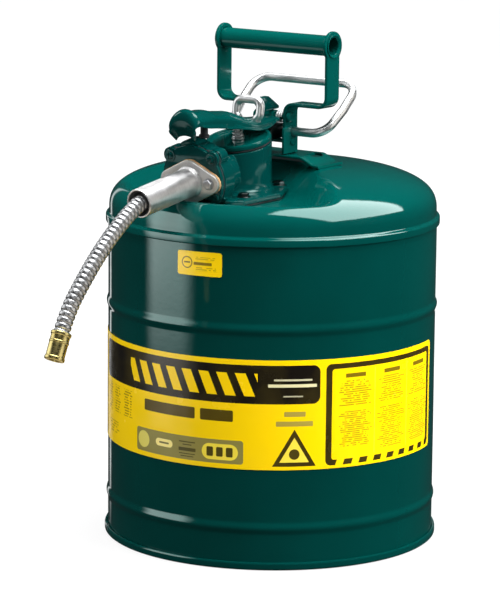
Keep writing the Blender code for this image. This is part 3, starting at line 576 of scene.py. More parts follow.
def fix_normals(me, weld=0.0, face_up=False):
    """Make the normals agree, after welding vertices closer than weld metres."""
    bm = bmesh.new()
    bm.from_mesh(me)
    if weld:
        bmesh.ops.remove_doubles(bm, verts=bm.verts, dist=weld)
    bmesh.ops.recalc_face_normals(bm, faces=bm.faces)
    if face_up and sum(f.normal.z for f in bm.faces) < 0:
        bmesh.ops.reverse_faces(bm, faces=bm.faces)
    bm.to_mesh(me)
    bm.free()
    return me


def clean(me):
    return fix_normals(me, weld=0.000004)


def shade(me, angle):
    me.polygons.foreach_set("use_smooth", [True] * len(me.polygons))
    me.set_sharp_from_angle(angle=math.radians(angle))


def add_piece(name, me, mat, body, replaces, angle):
    me.transform(Matrix.Translation(SHIFT))
    shade(me, angle)
    me.materials.append(mat)
    ob = bpy.data.objects.new(name, me)
    bpy.context.scene.collection.objects.link(ob)
    if body is not None:
        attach(ob, body)
    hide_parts(replaces)
    return ob


def make(name, meshes, mat, body, replaces, angle=34.0):
    """Join the meshes into one piece; angle is the sharp edge limit in degrees."""
    joined = bmesh.new()
    for part in meshes if isinstance(meshes, list) else [meshes]:
        joined.from_mesh(clean(part))
    me = bpy.data.meshes.new(name)
    joined.to_mesh(me)
    joined.free()
    return add_piece(name, me, mat, body, replaces, angle)


def bake(me, modifiers):
    """Mesh with (kind, settings) modifiers applied."""
    ob = scratch(me)
    for kind, settings in modifiers:
        modifier = ob.modifiers.new(kind, kind)
        for key, value in settings.items():
            setattr(modifier, key, value)
    return harvest(ob)


def carve(me, ops, extra=()):
    """Apply booleans [(operation, mesh)], then the extra modifiers."""
    tools = [scratch(clean(tool)) for _, tool in ops]
    booleans = [("BOOLEAN", {"operation": op, "solver": "EXACT", "object": tool})
                for (op, _), tool in zip(ops, tools)]
    out = bake(clean(me), booleans + list(extra))
    for tool in tools:
        bpy.data.objects.remove(tool, do_unlink=True)
    return out


def read_co(me):
    co = np.zeros(len(me.vertices) * 3)
    me.vertices.foreach_get("co", co)
    return co.reshape(-1, 3)


def smooth(low, high, x):
    t = np.clip((x - low) / (high - low), 0.0, 1.0)
    return t * t * (3 - 2 * t)


def catmull(points, per):
    """Catmull-Rom curve through the points, per steps to a span."""
    P = np.array(points, float)
    P = np.vstack([2 * P[0] - P[1], P, 2 * P[-1] - P[-2]])
    out = []
    for i in range(1, len(P) - 2):
        a, b, c, d = P[i - 1:i + 3]
        for k in range(per):
            t = k / per
            out.append(0.5 * ((2 * b) + (c - a) * t + (2 * a - 5 * b + 4 * c - d) * t * t
                              + (3 * b - a - 3 * c + d) * t ** 3))
    out.append(P[-2])
    return np.array(out)


def hex_head(r, h, matrix, washer_r, washer_t):
    """Hexagon head with a turned top and a washer; local z = 0 is the bearing face."""
    dome = 0.35
    return [lathe([(0, h), (r * 0.78, h), (r * 0.93, h - 0.09 * r), (r, h - 0.28 * r), (r, 0),
                   (0, 0)], 6, matrix),
            lathe([(0, h + dome), (r * 0.55, h + dome * 0.7), (r * 0.72, h - 0.02),
                   (0, h - 0.05)], 24, matrix),
            lathe([(0, washer_t), (washer_r - 0.4, washer_t), (washer_r, washer_t * 0.6),
                   (washer_r, 0.0), (0, 0)], 28, matrix)]


# ---- can wall, with two raised ribs and a welded lap down the back
RIB_Z = (36.5, 210.0)
RIB_HALF, RIB_OUT = 6.2, 1.4


def rib(z):
    spans = [abs(z - centre) / RIB_HALF for centre in RIB_Z]
    return sum(RIB_OUT * math.cos(d * PI / 2) ** 2 for d in spans if d < 1)


def can_wall():
    thick = 1.1
    lower_rib, upper_rib = (list(np.linspace(c - 6.5, c + 6.5, 27)) for c in RIB_Z)
    zs = ([2.2, 6.0, 12.0, 20.0, 28.0] + lower_rib
          + [50, 70, 90, 110, 130, 150, 170, 190, 202] + upper_rib
          + [225, 240, 255, 270, 280, 286.6])
    outer = [(WALL_R + rib(z), z) for z in zs]
    inner = [(WALL_R - thick + rib(z), z) for z in zs
             if any(abs(z - c) < 7 for c in RIB_Z) or z in (zs[0], zs[-1])][::-1]
    wall = lathe(outer + inner, 224)
    lap_height, lap_half_angle, lap_top = 0.00035, 0.012, 0.2805   # metres, radians, metres
    co = read_co(wall)
    angle = np.arctan2(co[:, 0], -co[:, 1])
    lap = np.exp(-((np.abs(angle) - PI) / lap_half_angle) ** 2)
    radius = np.hypot(co[:, 0], co[:, 1])
    grow = 1 + lap_height * lap / np.maximum(radius, 1e-6) * (co[:, 2] < lap_top)
    co[:, 0] *= grow
    co[:, 1] *= grow
    wall.vertices.foreach_set("co", co.ravel())
    return wall


make("can_wall", can_wall(), ENAMEL, "can", "body_side", 50)

# bottom pan and rim: (radius, height), the upper face outwards, then the underside inwards
underside = fillet([(146.4, 1.7), (146.4, 6.6), (148.2, 7.4), (149.0, 5.6), (149.0, 1.2),
                    (147.4, 0.0), (143.9, 0.0), (143.2, 0.8), (143.2, 7.4), (112.0, 7.4),
                    (109.0, 5.6), (96.0, 5.6), (93.0, 7.4)],
                   [0, 0.6, 0.9, 1.2, 1.2, 0.9, 0.7, 0.5, 0.8, 3, 3, 3, 0], 5)
pan = [(0, 8.8), (90, 8.8), (95.0, 7.2), (110.0, 7.2), (113, 8.8), (143.9, 8.8), (144.7, 8.0),
       (144.7, 1.7)] + underside + [(0, 7.4)]
make("bottom_rim", lathe(pan, 192), ENAMEL, "can", "bottom_pan", 40)


# ---- can top
def dome_z(r):
    """Height at radius r: one smooth curve from the flat crown to the rim."""
    return 292.5 + 41.7 * max(0.0, 1.0 - (r / 145.5) ** 2.8) ** (1 / 2.8)


def even(profile, step, upto):
    """Add points so that the spacing stays under step for radius < upto."""
    out = [profile[0]]
    for (r0, z0), (r1, z1) in zip(profile, profile[1:]):
        span = math.hypot(r1 - r0, z1 - z0)
        count = max(1, int(math.ceil(span / step))) if min(r0, r1) < upto else 1
        out += [(r0 + (r1 - r0) * k / count, z0 + (z1 - z0) * k / count)
                for k in range(1, count + 1)]
    return out


dome_radii = (list(np.arange(8.0, 96.0, 8.0)) + list(np.arange(96.0, 130.0, 3.0))
              + [130.0, 132.5, 135.0, 137.0, 139.0, 140.8, 142.2, 143.4, 144.3, 144.9,
                 145.25, 145.4])
rolled_edge = fillet([(145.5, 292.5), (145.4, 289.8), (148.4, 288.0), (148.4, 281.7),
                      (146.6, 281.3)], [0, 1.2, 1.6, 1.3, 0])
CROWN = even([(0, 334.2)] + [(r, dome_z(r)) for r in dome_radii] + rolled_edge,
             step=2.0, upto=140.0)
CROWN_R, CROWN_Z = np.array([p for p in CROWN if p[1] > 290]).T


def pressed(x, y):
    """Depth, negative mm, of the pressing for the manifold pad at (x, y)."""
    pad_z, round_off, soft = 311.0, 20.0, 2.4
    r = np.hypot(x, y)
    full = np.interp(r, CROWN_R, CROWN_Z)
    low = pad_z - 0.06 * np.maximum(0.0, np.abs(x) - 50.0)
    # signed distance past the pad's edge: the straight back blended into two slanted sides
    slant = (np.abs(x) - 46.0) * 0.682 + (y + 18.0) * 0.731
    blend = np.clip(0.5 + 0.5 * (y - slant) / round_off, 0, 1)
    past = slant * (1 - blend) + y * blend + round_off * blend * (1 - blend)
    weight = 1.0 - smooth(-16.0, 15.0, past)
    depth = np.logaddexp(0.0, (full - low) / soft) * soft
    return -depth * weight * (1.0 - smooth(124.0, 138.0, r))


def can_top():
    inside = [(146.6, 287.0), (144.95, 287.0), (144.95, 280.6), (143.6, 280.6),
              (143.6, 290.5), (143.2, 294.6), (141.6, 299.6), (138.6, 305.2)]
    skin_inside = [(r, z - 1.5) for r, z in CROWN if r < 134 and z > 300][::-1]
    top = lathe(CROWN + inside + skin_inside, 256)
    co = read_co(top)
    mask = (np.hypot(co[:, 0], co[:, 1]) < 0.138) & (co[:, 2] > 0.300)
    co[mask, 2] += pressed(co[mask, 0] / MM, co[mask, 1] / MM) * MM
    top.vertices.foreach_set("co", co.ravel())
    return carve(top, [("DIFFERENCE", rod(24, 342, 296, 64, place(0, FILL_Y, 0))),
                       ("DIFFERENCE", rod(4.0, 342, 296, 24, place(0, POUR_Y, 0)))])


make("can_top", can_top(), ENAMEL, "can", "top_dome", 40)


# ---- printed film
def film(name, degrees, z0, z1, corner, steps, thick, mat, replaces):
    """Film wrapped on the wall with rounded corners; degrees run from -Y towards +X.
    UV "mm" is (arc length, height) in mm."""
    R = WALL_R + 0.3
    u0, u1 = (math.radians(d) * R for d in degrees)
    ease = [corner * (1 - math.cos(PI / 2 * k / 8)) for k in range(9)]
    us = sorted(set([u0 + e for e in ease] + [u1 - e for e in ease]
                    + list(np.linspace(u0 + corner, u1 - corner, steps))))
    verts, uvs = [], []
    for r in (R, R + thick):
        for u in us:
            inset = max(0.0, corner - min(u - u0, u1 - u))
            cut = corner - math.sqrt(max(0.0, corner ** 2 - inset ** 2))
            for z in (z0 + cut, z1 - cut):
                verts.append((r * math.sin(u / R) * MM, -r * math.cos(u / R) * MM, z * MM))
                uvs.append((u, z))
    count = len(us)
    o = 2 * count                      # first vertex of the outer layer
    faces = []
    for i in range(count - 1):
        a, b, c, d = 2 * i, 2 * i + 1, 2 * i + 3, 2 * i + 2
        faces += [(o + a, o + d, o + c, o + b), (a, b, c, d), (a, d, o + d, o + a),
                  (b, o + b, o + c, c)]
    faces += [(0, o, o + 1, 1), (o - 2, o - 1, o + o - 1, o + o - 2)]
    me = bpy.data.meshes.new(name)
    me.from_pydata(verts, [], faces)
    layer = me.uv_layers.new(name="mm")
    for loop in me.loops:
        layer.data[loop.index].uv = uvs[loop.vertex_index]
    add_piece(name, fix_normals(me), mat, "can", replaces, 40)


def text_panel(art, u0, u1):
    """Dark frame round three columns of dashes, with a striped foot."""
    width = u1 - u0
    art.boxes([(u0, u1, 91.0, 179.9, 5.0, INK, 0.985),
               (u0 + 5.6, u1 - 5.6, 95.9, 175.4, 2.6, YELLOW, 1.0)])
    art.ink(art.both(art.box(u0 + 8.4, u1 - 8.4, 90.6, 95.9, 0.1),
                     art.stripes(pitch=15.4, duty=0.46, slant=-0.35, shift=0.55)), YELLOW)
    # columns: from and to as shares of the width, left inset, foot of the dashes, seed
    for start, end, inset, foot, seed in ((0.045, 0.345, 5.0, 106.0, 3.0),
                                          (0.385, 0.655, 0.0, 100.5, 17.0),
                                          (0.69, 0.955, 0.0, 100.5, 41.0)):
        left, right = u0 + width * start + inset, u0 + width * end
        middle = (left + right) / 2
        art.ink(art.box(middle - 10.0, middle + 10.0, 167.0, 170.6, 0.4), INK, 0.85)
        art.dashes(left, right, 142.5, 165.0, pitch=1.9, seed=seed, strength=0.62)
        art.dashes(left, right, foot, 138.0, pitch=1.75, seed=seed + 100, strength=0.60)
    for share in (0.365, 0.672):
        rule = u0 + width * share
        art.ink(art.box(rule - 0.2, rule + 0.2, 98.0, 173.6, 0.1), OLIVE, 0.7)


def band_art():
    art = Label("band_print")
    # header block with slanted bars
    art.ink(art.box(-113.5, 132.2, 146.2, 179.9, 6.5), INK)
    art.ink(art.both(art.box(-55.0, 78.0, 152.8, 172.6, 0.4),
                     art.stripes(pitch=16.6, duty=0.56, slant=0.42, shift=0.12)), YELLOW)
    art.boxes([
        # three short rules in the header
        (92.0, 125.0, 166.4, 168.0, 0.5, CREAM, 0.75),
        (87.0, 129.0, 160.9, 163.6, 0.6, (0.85, 0.78, 0.45), 0.9),
        (100.0, 117.0, 152.4, 153.6, 0.4, CREAM, 0.6),
        # second line: two dark bars
        (-34.0, 22.0, 129.6, 139.6, 1.4, INK, 0.93),
        (27.0, 57.0, 129.6, 139.6, 1.4, INK, 0.93),
        # olive strip
        (-44.6, 66.2, 92.6, 113.4, 2.6, OLIVE, 1.0)])
    # plain marks on the strip
    art.ink(art.disc(-35.0, 103.4, 7.4), (0.72, 0.62, 0.12))
    art.boxes([(-19.5, -0.5, 100.6, 107.4, 3.3, (0.95, 0.78, 0.25), 1.0),
               (-15.5, -4.5, 103.2, 104.8, 0.6, INK, 0.8)])
    # stacked rules: width, middle height, thickness
    for w, z, h in ((16.0, 108.2, 1.0), (9.0, 105.8, 0.9), (17.0, 101.6, 3.0),
                    (16.0, 97.8, 0.8), (13.0, 95.6, 0.8)):
        art.ink(art.box(14.5 - w / 2, 14.5 + w / 2, z - h / 2, z + h / 2, 0.3), INK, 0.75)
    art.ink(art.box(29.0, 61.6, 95.6, 109.6, 6.9), (0.92, 0.72, 0.06))
    for k in range(3):
        art.ink(art.box(33.4 + 8.8 * k, 39.4 + 8.8 * k, 98.4, 106.8, 1.2), INK, 0.95)
    # two rules above an outlined triangle with a dot
    art.boxes([(101.0, 119.5, 135.2, 139.6, 0.7, OLIVE, 0.85),
               (94.0, 126.0, 126.8, 131.2, 0.7, OLIVE, 0.85)])
    art.ink(art.polygon([(110.0, 124.2), (91.0, 91.6), (129.0, 91.6)]), INK, 0.97)
    art.ink(art.polygon([(110.0, 117.0), (97.2, 95.2), (122.8, 95.2)]), (1.0, 0.72, 0.06))
    art.ink(art.disc(110.0, 102.2, 4.6), INK, 0.95)
    text_panel(art, 137.4, 269.6)
    text_panel(art, -269.6, -119.5)
    for u, half, seed in ((-101.0, 6.5, 5.0), (-82.0, 7.5, 9.0), (-60.0, 8.0, 13.0)):
        art.dashes(u - half, u + half, 118.0, 142.0, pitch=2.4, seed=seed, strength=0.62,
                   duty=0.5, short=0.7)
    art.dashes(-106.0, -76.0, 98.0, 109.0, pitch=2.4, seed=23.0, strength=0.5,
               duty=0.5, short=0.6)
    return art.done()


def sticker_art():
    art = Label("sticker_print")
    art.ink(art.without(art.disc(13.6, 265.4, 5.2), art.disc(13.6, 265.4, 4.2)), INK, 0.85)
    art.boxes([(10.6, 16.6, 264.8, 266.2, 0.3, INK, 0.8),
               (20.0, 37.0, 263.6, 266.2, 0.5, INK, 0.8)])
    art.dashes(20.0, 42.0, 267.6, 270.6, pitch=1.5, seed=4.0, strength=0.5,
               duty=0.5, short=0.7)
    art.dashes(20.0, 43.0, 258.6, 262.4, pitch=1.5, seed=8.0, strength=0.55,
               duty=0.5, short=0.8)
    return art.done()


film("label_wrap", degrees=(-107.0, 107.0), z0=88.5, z1=184.4, corner=4.0, steps=180,
     thick=0.22, mat=band_art(), replaces="label_band")
film("info_sticker", degrees=(1.65, 18.05), z0=254.4, z1=275.2, corner=2.2, steps=24,
     thick=0.2, mat=sticker_art(), replaces="hazard_sticker")

# ---- manifold casting
BASE_SCREWS = [(23.0, -24.0), (-23.0, -24.0), (38.5, -99.0), (-38.5, -99.0)]      # x, y
COVER_SCREWS = [(21.5, 20.5), (-21.5, 20.5), (24.6, -12.6), (-24.6, -12.6)]       # spout x, z
LUGS = COVER_SCREWS[:2]                # the upper two sit on lugs beyond the round cover
COVER_R, LUG_R = 31.0, 7.2
BASE = fillet([(-19, -11.5), (-31, -23), (-48, -56), (-48, -112), (-41, -121), (-34, -121),
               (-34, -112.8), (34, -112.8), (34, -121), (41, -121), (48, -112), (48, -56),
               (31, -23), (19, -11.5)],
              [5, 8, 14, 8, 5, 1.5, 0, 0, 1.5, 5, 8, 14, 8, 5], 5)


def manifold():
    """Base plate, fill neck, spout barrel and screw bosses, softened into one casting."""
    solids = [lathe([(0, 368.0), (29.0, 368.0), (29.0, 323.0), (29.8, 319.8), (32.0, 317.4),
                     (32.0, 314.0), (0, 314.0)], 96, place(0, FILL_Y, 0)),
              rod(20.0, 44.0, 10.0, 64, spout_axis(0, -3.0)),
              lathe([(0, 24.0), (28.0, 24.0), (COVER_R, 20.0), (COVER_R, 5.8), (0, 5.8)], 96,
                    spout_axis()),
              lathe([(0, 25.2), (10.5, 25.2), (13.5, 21.5), (13.5, 5.83), (0, 5.83)], 56,
                    spout_axis(-5.0, 20.5))]
    # lugs and bosses start at slightly different depths, so their end faces never coincide
    for i, (x, z) in enumerate(LUGS):
        foot = 5.77 - 0.03 * i
        solids.append(lathe([(0, 16.8), (6.4, 16.8), (LUG_R, 15.8), (LUG_R, foot), (0, foot)],
                            40, spout_axis(x, z)))
    for i, (x, y) in enumerate(BASE_SCREWS):
        foot = 314.4 + 0.05 * i
        solids.append(lathe([(0, 317.9), (6.6, 317.9), (7.4, 317.0), (7.4, foot), (0, foot)],
                            32, place(x, y, 0)))
    cuts = [rod(140, 312.8, 280, 16, place(0, -60, 0)),            # all below the base plate
            rod(34.0, -2.0, 30.0, 32, MOUTH_M),                    # all above the tilted mouth
            lathe([(0, 372), (25, 372), (25, 345.6), (23.2, 345.6), (23.2, 300), (0, 300)],
                  72, place(0, FILL_Y, 0)),
            rod(8.0, 28.0, -6.0, 40, spout_axis()),
            rod(7.6, 334, 300, 40, place(0, -94.5, 0))]
    ops = [("UNION", me) for me in solids] + [("DIFFERENCE", me) for me in cuts]
    soften = [("REMESH", {"mode": "VOXEL", "voxel_size": 0.00062, "use_smooth_shade": True}),
              ("SMOOTH", {"factor": 0.5, "iterations": 7})]
    return carve(plate(BASE, [], 4.5, 0.7, place(0, 0, 315.05)), ops, soften)


make("manifold_body", manifold(), CAST_ENAMEL, "can", "manifold_casting", 70)

for i, (x, y) in enumerate(BASE_SCREWS):
    make("base_bolt_%d" % (i + 1),
         hex_head(5.1, 3.9, place(x, y, 317.75) @ spin(0.35 * i + 0.2), 6.1, 0.9),
         BLACK_STEEL, "can", "base_screw_%d" % (i + 1), 30)


# ---- cover plate on the spout face
def cover_outline():
    """Circle grown out round the lugs and cut straight along the bottom."""
    outline = []
    for k in range(120):
        angle = 2 * PI * k / 120
        ray = Vector((math.cos(angle), math.sin(angle)))
        reach = COVER_R
        for lug in LUGS:
            centre = Vector(lug)
            b = -ray.dot(centre)
            inside = b * b - (centre.length_squared - LUG_R ** 2)
            if inside > 0:
                reach = max(reach, -b + math.sqrt(inside))
        edge = ray * reach
        point = (edge.x, max(edge.y, -15.8))
        if not outline or (Vector(point) - Vector(outline[-1])).length > 0.35:
            outline.append(point)
    return outline


bolt_holes = [circle(side * FLANGE_BOLT_X, 0, 2.9, 20) for side in (-1, 1)]
make("spout_plate",
     [plate(cover_outline(), [circle(0, 0, 8.6, 32)] + bolt_holes, 4.0, 0.8,
            spout_face(0, 2.3, 0)),
      lathe([(24.6, 0.95), (25.4, 0.55), (27.2, 0.35), (27.2, 1.2), (24.6, 1.2)], 72,
            spout_axis())],
     CAST_ENAMEL, "can", "spout_cover")

for i, (x, z) in enumerate(COVER_SCREWS):
    # slotted round head with a thin ring about it
    face = spout_face(x, 0.1, z)
    head = lathe(fillet([(0, 2.3), (2.6, 2.1), (3.5, 1.0), (3.5, 0), (0, 0)],
                        [0, 0.8, 0.5, 0.1, 0], 4), 36, face)
    groove = raw([Vector((sx * 4.2, sy * 0.45, sz)) * MM
                  for sx in (-1, 1) for sy in (-1, 1) for sz in (1.15, 4.0)],
                 [(0, 1, 3, 2), (4, 6, 7, 5), (0, 4, 5, 1), (2, 3, 7, 6), (0, 2, 6, 4),
                  (1, 5, 7, 3)], face @ spin(0.6 + i))
    ring = lathe([(5.0, 0.5), (5.3, 0.2), (5.3, -0.1), (3.6, -0.1), (3.6, 0.5)], 36, face)
    make("cover_bolt_%d" % (i + 1), [carve(head, [("DIFFERENCE", groove)]), ring],
         CAST_ENAMEL, "can", "cover_screw_%d" % (i + 1))

# ---- two-lobed hose flange, its bolts and the guard tube
diamond = fillet([(-40.8, 0), (0, -20.5), (40.8, 0), (0, 20.5)], [8.5, 13.0, 8.5, 13.0], 14)
make("hose_flange_plate", plate(diamond, [circle(0, 0, 6.6, 32)] + bolt_holes, 3.0, 0.55,
                                spout_face(0, -2.8, 0)),
     ZINC_PLATE, "can", "hose_flange")
for side, sx in (("left", -1), ("right", 1)):
    make("flange_screw_" + side,
         hex_head(4.6, 3.0, spout_face(sx * FLANGE_BOLT_X, -4.5, 0) @ spin(0.3 * sx), 5.2, 0.7),
         STEEL, "can", "flange_bolt_" + side, 30)


def guard_profile():
    """Tube wall with a flared root; its long straights are split in twelve."""
    r, length, root = 12.5, 76.0, -4.5
    loop = fillet([(r + 1.6, root), (r + 1.3, -6.4), (r, -7.6), (r, -length + 1.0),
                   (r - 0.5, -length), (r - 1.5, -length + 0.3), (r - 1.5, root)],
                  [0.1, 0.8, 0.8, 0.8, 0.4, 0.4, 0.1], 4)
    out = []
    for (r0, z0), (r1, z1) in zip(loop, loop[1:] + loop[:1]):
        count = 1 if abs(z0 - z1) < 9 else 12
        out += [(r0 + (r1 - r0) * k / count, z0 + (z1 - z0) * k / count)
                for k in range(count)]
    return out


make("guard_sleeve", lathe(guard_profile(), 96, spout_axis()), TUBE_STEEL, "can",
     "hose_guard_tube")

# ---- hose
PITCH = 5.0                            # ridge to ridge
HOSE_R, GROOVE = 7.0, 1.3
TIP_START, TIP_END = Vector((0, -299.0, 227.2)), Vector((0, -309.3, 204.8))
# centre line (y, z) beyond the guard tube
HANG = [(-208.0, 314.1), (-220, 307.1), (-228.6, 301.3), (-237, 295.2), (-245.6, 288.4),
        (-254, 281.1), (-260.7, 275.0), (-267, 268.8), (-273.6, 262.2), (-280, 255.4),
        (-285.2, 249.4), (-289.8, 243.2), (-294.8, 235.2), (-299.0, 227.2), (-303.0, 218.6)]
straight = [tuple((SPOUT_M @ Vector((0, -d * MM, 0))) / MM) for d in (4.9, 25.0, 50.0, 72.0)]
line = catmull(straight + [(0, y, z) for y, z in HANG], 24)
arc = np.concatenate([[0], np.cumsum(np.linalg.norm(np.diff(line, axis=0), axis=1))])


def hose_at(distance):
    return np.array([np.interp(distance, arc, line[:, k]) for k in range(3)])


def nearest(y, z):
    """Distance along the hose of the line point nearest (0, y, z)."""
    return arc[np.argmin(np.linalg.norm(line - np.array((0, y, z)), axis=1))]


def hose(start, end):
    """Corrugated hose: rounded ridges with narrow grooves, wound at a slight angle."""
    count = int((end - start) / 0.35)
    pts, sections = [], []
    for i in range(count + 1):
        distance = start + (end - start) * i / count
        pts.append(tuple(hose_at(distance)))
        ring = []
        for k in range(36):
            angle = 2 * PI * k / 36
            phase = (distance / PITCH + 0.06 * math.sin(angle)) % 1.0
            off = abs(phase - 0.5) * 2           # 0 on the ridge, 1 in the groove
            r = HOSE_R - GROOVE * max(0.0, (off - 0.36) / 0.64) ** 1.7
            ring.append((r * math.cos(angle), r * math.sin(angle)))
        sections.append(ring)
    return tube(pts, sections, up=Vector((1, 0, 0)))


# joints between the moving lengths; the pieces meet in grooves midway between joints
joints = [nearest(y, z) for y, z in ((-198.5, 318.6), (-237.0, 295.2), (-273.6, 262.2))]
hose_end = nearest(-299.6, 226.0)
stops = joints + [hose_end]
cuts = ([0.0] + [round((a + b) / 2 / PITCH) * PITCH for a, b in zip(stops, stops[1:])]
        + [hose_end])
bodies = ["can", "hose_1", "hose_2", "hose_3"]
replaced = ["hose_root", "hose_length_1", "hose_length_2", "hose_length_3"]
for i in range(4):
    bends = i < 3                      # the last length rides stiffly
    ob = make("hose_sleeve_%d" % (i + 1), hose(cuts[i], cuts[i + 1]), HOSE_STEEL,
              None if bends else bodies[i], replaced[i], 60)
    if bends:
        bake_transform(ob)

# brass ferrule on the hose end
tip = TIP_END - TIP_START
tip_m = place(*TIP_START) @ tip.to_track_quat("Z", "X").to_matrix().to_4x4()
end = tip.length
ferrule = fillet([(5.0, end), (5.0, 0.3), (8.0, 0.3), (8.7, 1.0), (8.7, 3.0), (8.05, 3.6),
                  (8.05, 7.8), (8.45, 8.3), (8.45, 9.5), (8.05, 10.0), (8.05, end - 3.4),
                  (8.6, end - 2.8), (8.6, end - 0.8), (8.1, end)],
                 [0.2, 0.2, 0.4, 0.5, 0.5, 0.3, 0.3, 0.3, 0.3, 0.3, 0.4, 0.5, 0.5, 0.4], 4)
make("hose_ferrule", lathe(ferrule, 72, tip_m), BRASS, "hose_3", "hose_tip")

# ---- fill cap, its stud and spring
cap = fillet([(0, 2.5), (22.6, 2.3), (24.8, 3.0), (25.7, 4.6), (28.0, 4.6), (28.9, 3.0),
              (28.9, 0.6), (28.3, 0.0), (0, 0.0)], [0, 6, 1.2, 1.1, 1.1, 0.9, 0.3, 0.2, 0])
make("cap_shell", lathe(cap, 112, MOUTH_M), ENAMEL, "lid", "fill_cap", 50)
stud = fillet([(0, 20.6), (1.9, 20.6), (2.4, 20.0), (2.4, 4.7), (5.6, 4.5), (5.6, 2.75),
               (0, 2.75)], [0, 0.3, 0.3, 0.4, 0.3, 0.1, 0], 3)
make("cap_boss", lathe(stud, 32, MOUTH_M), ZINC, "lid", "cap_stud")
spring = coil(0, 0, 5.5, 15.2, 4.4, 4.5, 0.75)
spring.transform(MOUTH_M)
make("cap_coil", spring, ZINC, "lid", "cap_spring", 60)

# ---- lever: y, half width, edge height, crown height, depth of the turned-down edge
LEVER = [
    (-8.5, 11.6, 375.6, 376.2, 2.2), (-16, 12.0, 374.6, 376.4, 3.5),
    (-24, 13.0, 373.2, 376.8, 4.6), (-33, 13.6, 372.5, 377.2, 5.0),
    (-42, 14.2, 372.5, 378.0, 5.2), (-52, 14.5, 374.0, 379.6, 5.4),
    (-62, 14.6, 376.4, 382.0, 6.2), (-71, 14.8, 378.8, 384.8, 7.4),
    (-80, 15.0, 381.0, 386.9, 8.2), (-88, 15.2, 382.0, 387.9, 8.3),
    (-94, 15.4, 382.6, 388.4, 8.2), (-101, 15.6, 383.4, 389.5, 8.2),
    (-107, 15.8, 384.0, 390.8, 8.0), (-113, 16.0, 384.2, 391.4, 7.6),
    (-119, 16.0, 384.2, 391.3, 7.0), (-126, 15.8, 384.2, 392.4, 5.6),
    (-131, 15.2, 384.0, 393.8, 4.4), (-135.2, 14.2, 381.6, 391.2, 3.4),
    (-136.4, 13.0, 377.4, 385.4, 2.6), (-134.8, 11.6, 373.2, 379.2, 2.0),
    (-131.8, 9.8, 369.6, 373.4, 1.4), (-130.4, 8.8, 368.0, 370.6, 1.0)]


def lever_paddle():
    """Arched sheet with cross ridges part way along and a small lip on the turned edge."""
    rows = catmull(LEVER, 8)
    verts, faces = [], []
    for y, half, edge, crown, turn in rows:
        flank = [(1.0, edge - turn), (1.0, edge - 0.6), (0.80, edge + 0.42 * (crown - edge)),
                 (0.42, edge + 0.85 * (crown - edge))]
        arch = [(-x, z) for x, z in flank] + [(0, crown)] + flank[::-1]
        across = catmull([(x * half, 0, z) for x, z in arch], 5)
        ridged = smooth(-82, -78, y) * (1 - smooth(-62, -57, y))
        for x, _, z in across:
            share = abs(x) / half
            fade = float(ridged * (1 - smooth(0.7, 0.95, share)))
            z += 0.75 * fade * math.sin(2 * PI * y / 3.6)
            lip = 0.0
            if z < edge - turn + 1.6 and y > -128:
                lip = math.exp(-((share - 1.0) / 0.03) ** 2)
            verts.append(((x + math.copysign(1.1 * lip, x)) * MM, y * MM, z * MM))
    count = len(across)
    for i in range(len(rows) - 1):
        for j in range(count - 1):
            a = i * count + j
            faces.append((a, a + count, a + count + 1, a + 1))
    return bake(fix_normals(raw(verts, faces), face_up=True), [
        ("SOLIDIFY", {"thickness": 1.9 * MM, "offset": -1.0}),
        ("BEVEL", {"width": 0.0005, "segments": 2, "limit_method": "ANGLE",
                   "angle_limit": math.radians(55)})])


make("lever_paddle", lever_paddle(), LEVER_ENAMEL, "lid", "lid_lever", 50)
barrel = fillet([(5.4, 15.2), (5.4, 0.0), (3.3, 0.0), (3.3, 15.2)], 0.4, 3)
make("lever_barrel", lathe(barrel, 48, along_x(-12.2, HINGE_Y, HINGE_Z)), HANDLE_ENAMEL,
     "lid", "lever_hinge_barrel")
hoop = fillet([(-9.6, -40, 373.6), (-9.8, -40, 377.0), (-12.6, -39.6, 380.2),
               (-12.8, -37.8, 393.2), (12.8, -37.8, 393.2), (12.6, -39.6, 380.2),
               (9.8, -40, 377.0), (9.6, -40, 373.6)], [0, 3, 4, 12.2, 12.2, 4, 3, 0], 14)
make("hoop_wire", wire(hoop, 3.7, 28), ZINC, "lid", "lever_hoop", 60)
heel = fillet([(-24.5, 379.6), (-22.0, 393.4), (-11.5, 393.6), (8.0, 381.6)],
              [1.5, 4.0, 5.0, 1.5])
make("heel_fin", plate(heel, [], 5.0, 0.7, SIDE_M), LEVER_ENAMEL, "lid", "lever_heel_plate")
pin = fillet([(0, 39.6), (3.2, 39.6), (4.7, 38.2), (4.7, 36.6), (2.8, 36.6), (2.8, 2.9),
              (4.7, 2.9), (4.7, 1.4), (3.2, 0.0), (0, 0.0)],
             [0, 0.8, 0.6, 0.2, 0.1, 0.1, 0.2, 0.6, 0.8, 0], 4)
make("hinge_pin", lathe(pin, 48, along_x(-39.6 / 2, HINGE_Y, HINGE_Z)), HANDLE_ENAMEL, "can",
     "lever_hinge_pin")
winding = []                           # three turns about the hinge
for i in range(109):
    angle = 2 * PI * i / 36 + PI
    winding.append((4.4 + 7.0 * i / 108, HINGE_Y + 4.4 * math.cos(angle),
                    HINGE_Z + 4.4 * math.sin(angle)))
make("lid_torsion_coil", wire(winding, 0.8, 12), ZINC, "can", "lid_spring", 60)
stop = fillet([(0, 383.8), (2.6, 383.8), (3.3, 382.6), (3.3, 369.6), (4.6, 368.9),
               (4.6, 366.2), (0, 366.2)], [0, 0.8, 0.6, 0.4, 0.3, 0.1, 0], 4)
make("lever_stop", lathe(stop, 36, place(0, -104, 0)), RUBBER, "can", "lever_bumper")

# ---- handle
STRAP_X, STRAP_T = 14.2, 3.0           # the straps' upright roots
EYE_X, EYE_R = 58.0, 9.35              # the eyes that hold the grip
CHEEK_T = 2.4
SPACER_Y, SPACER_Z = 2.8, 353.2

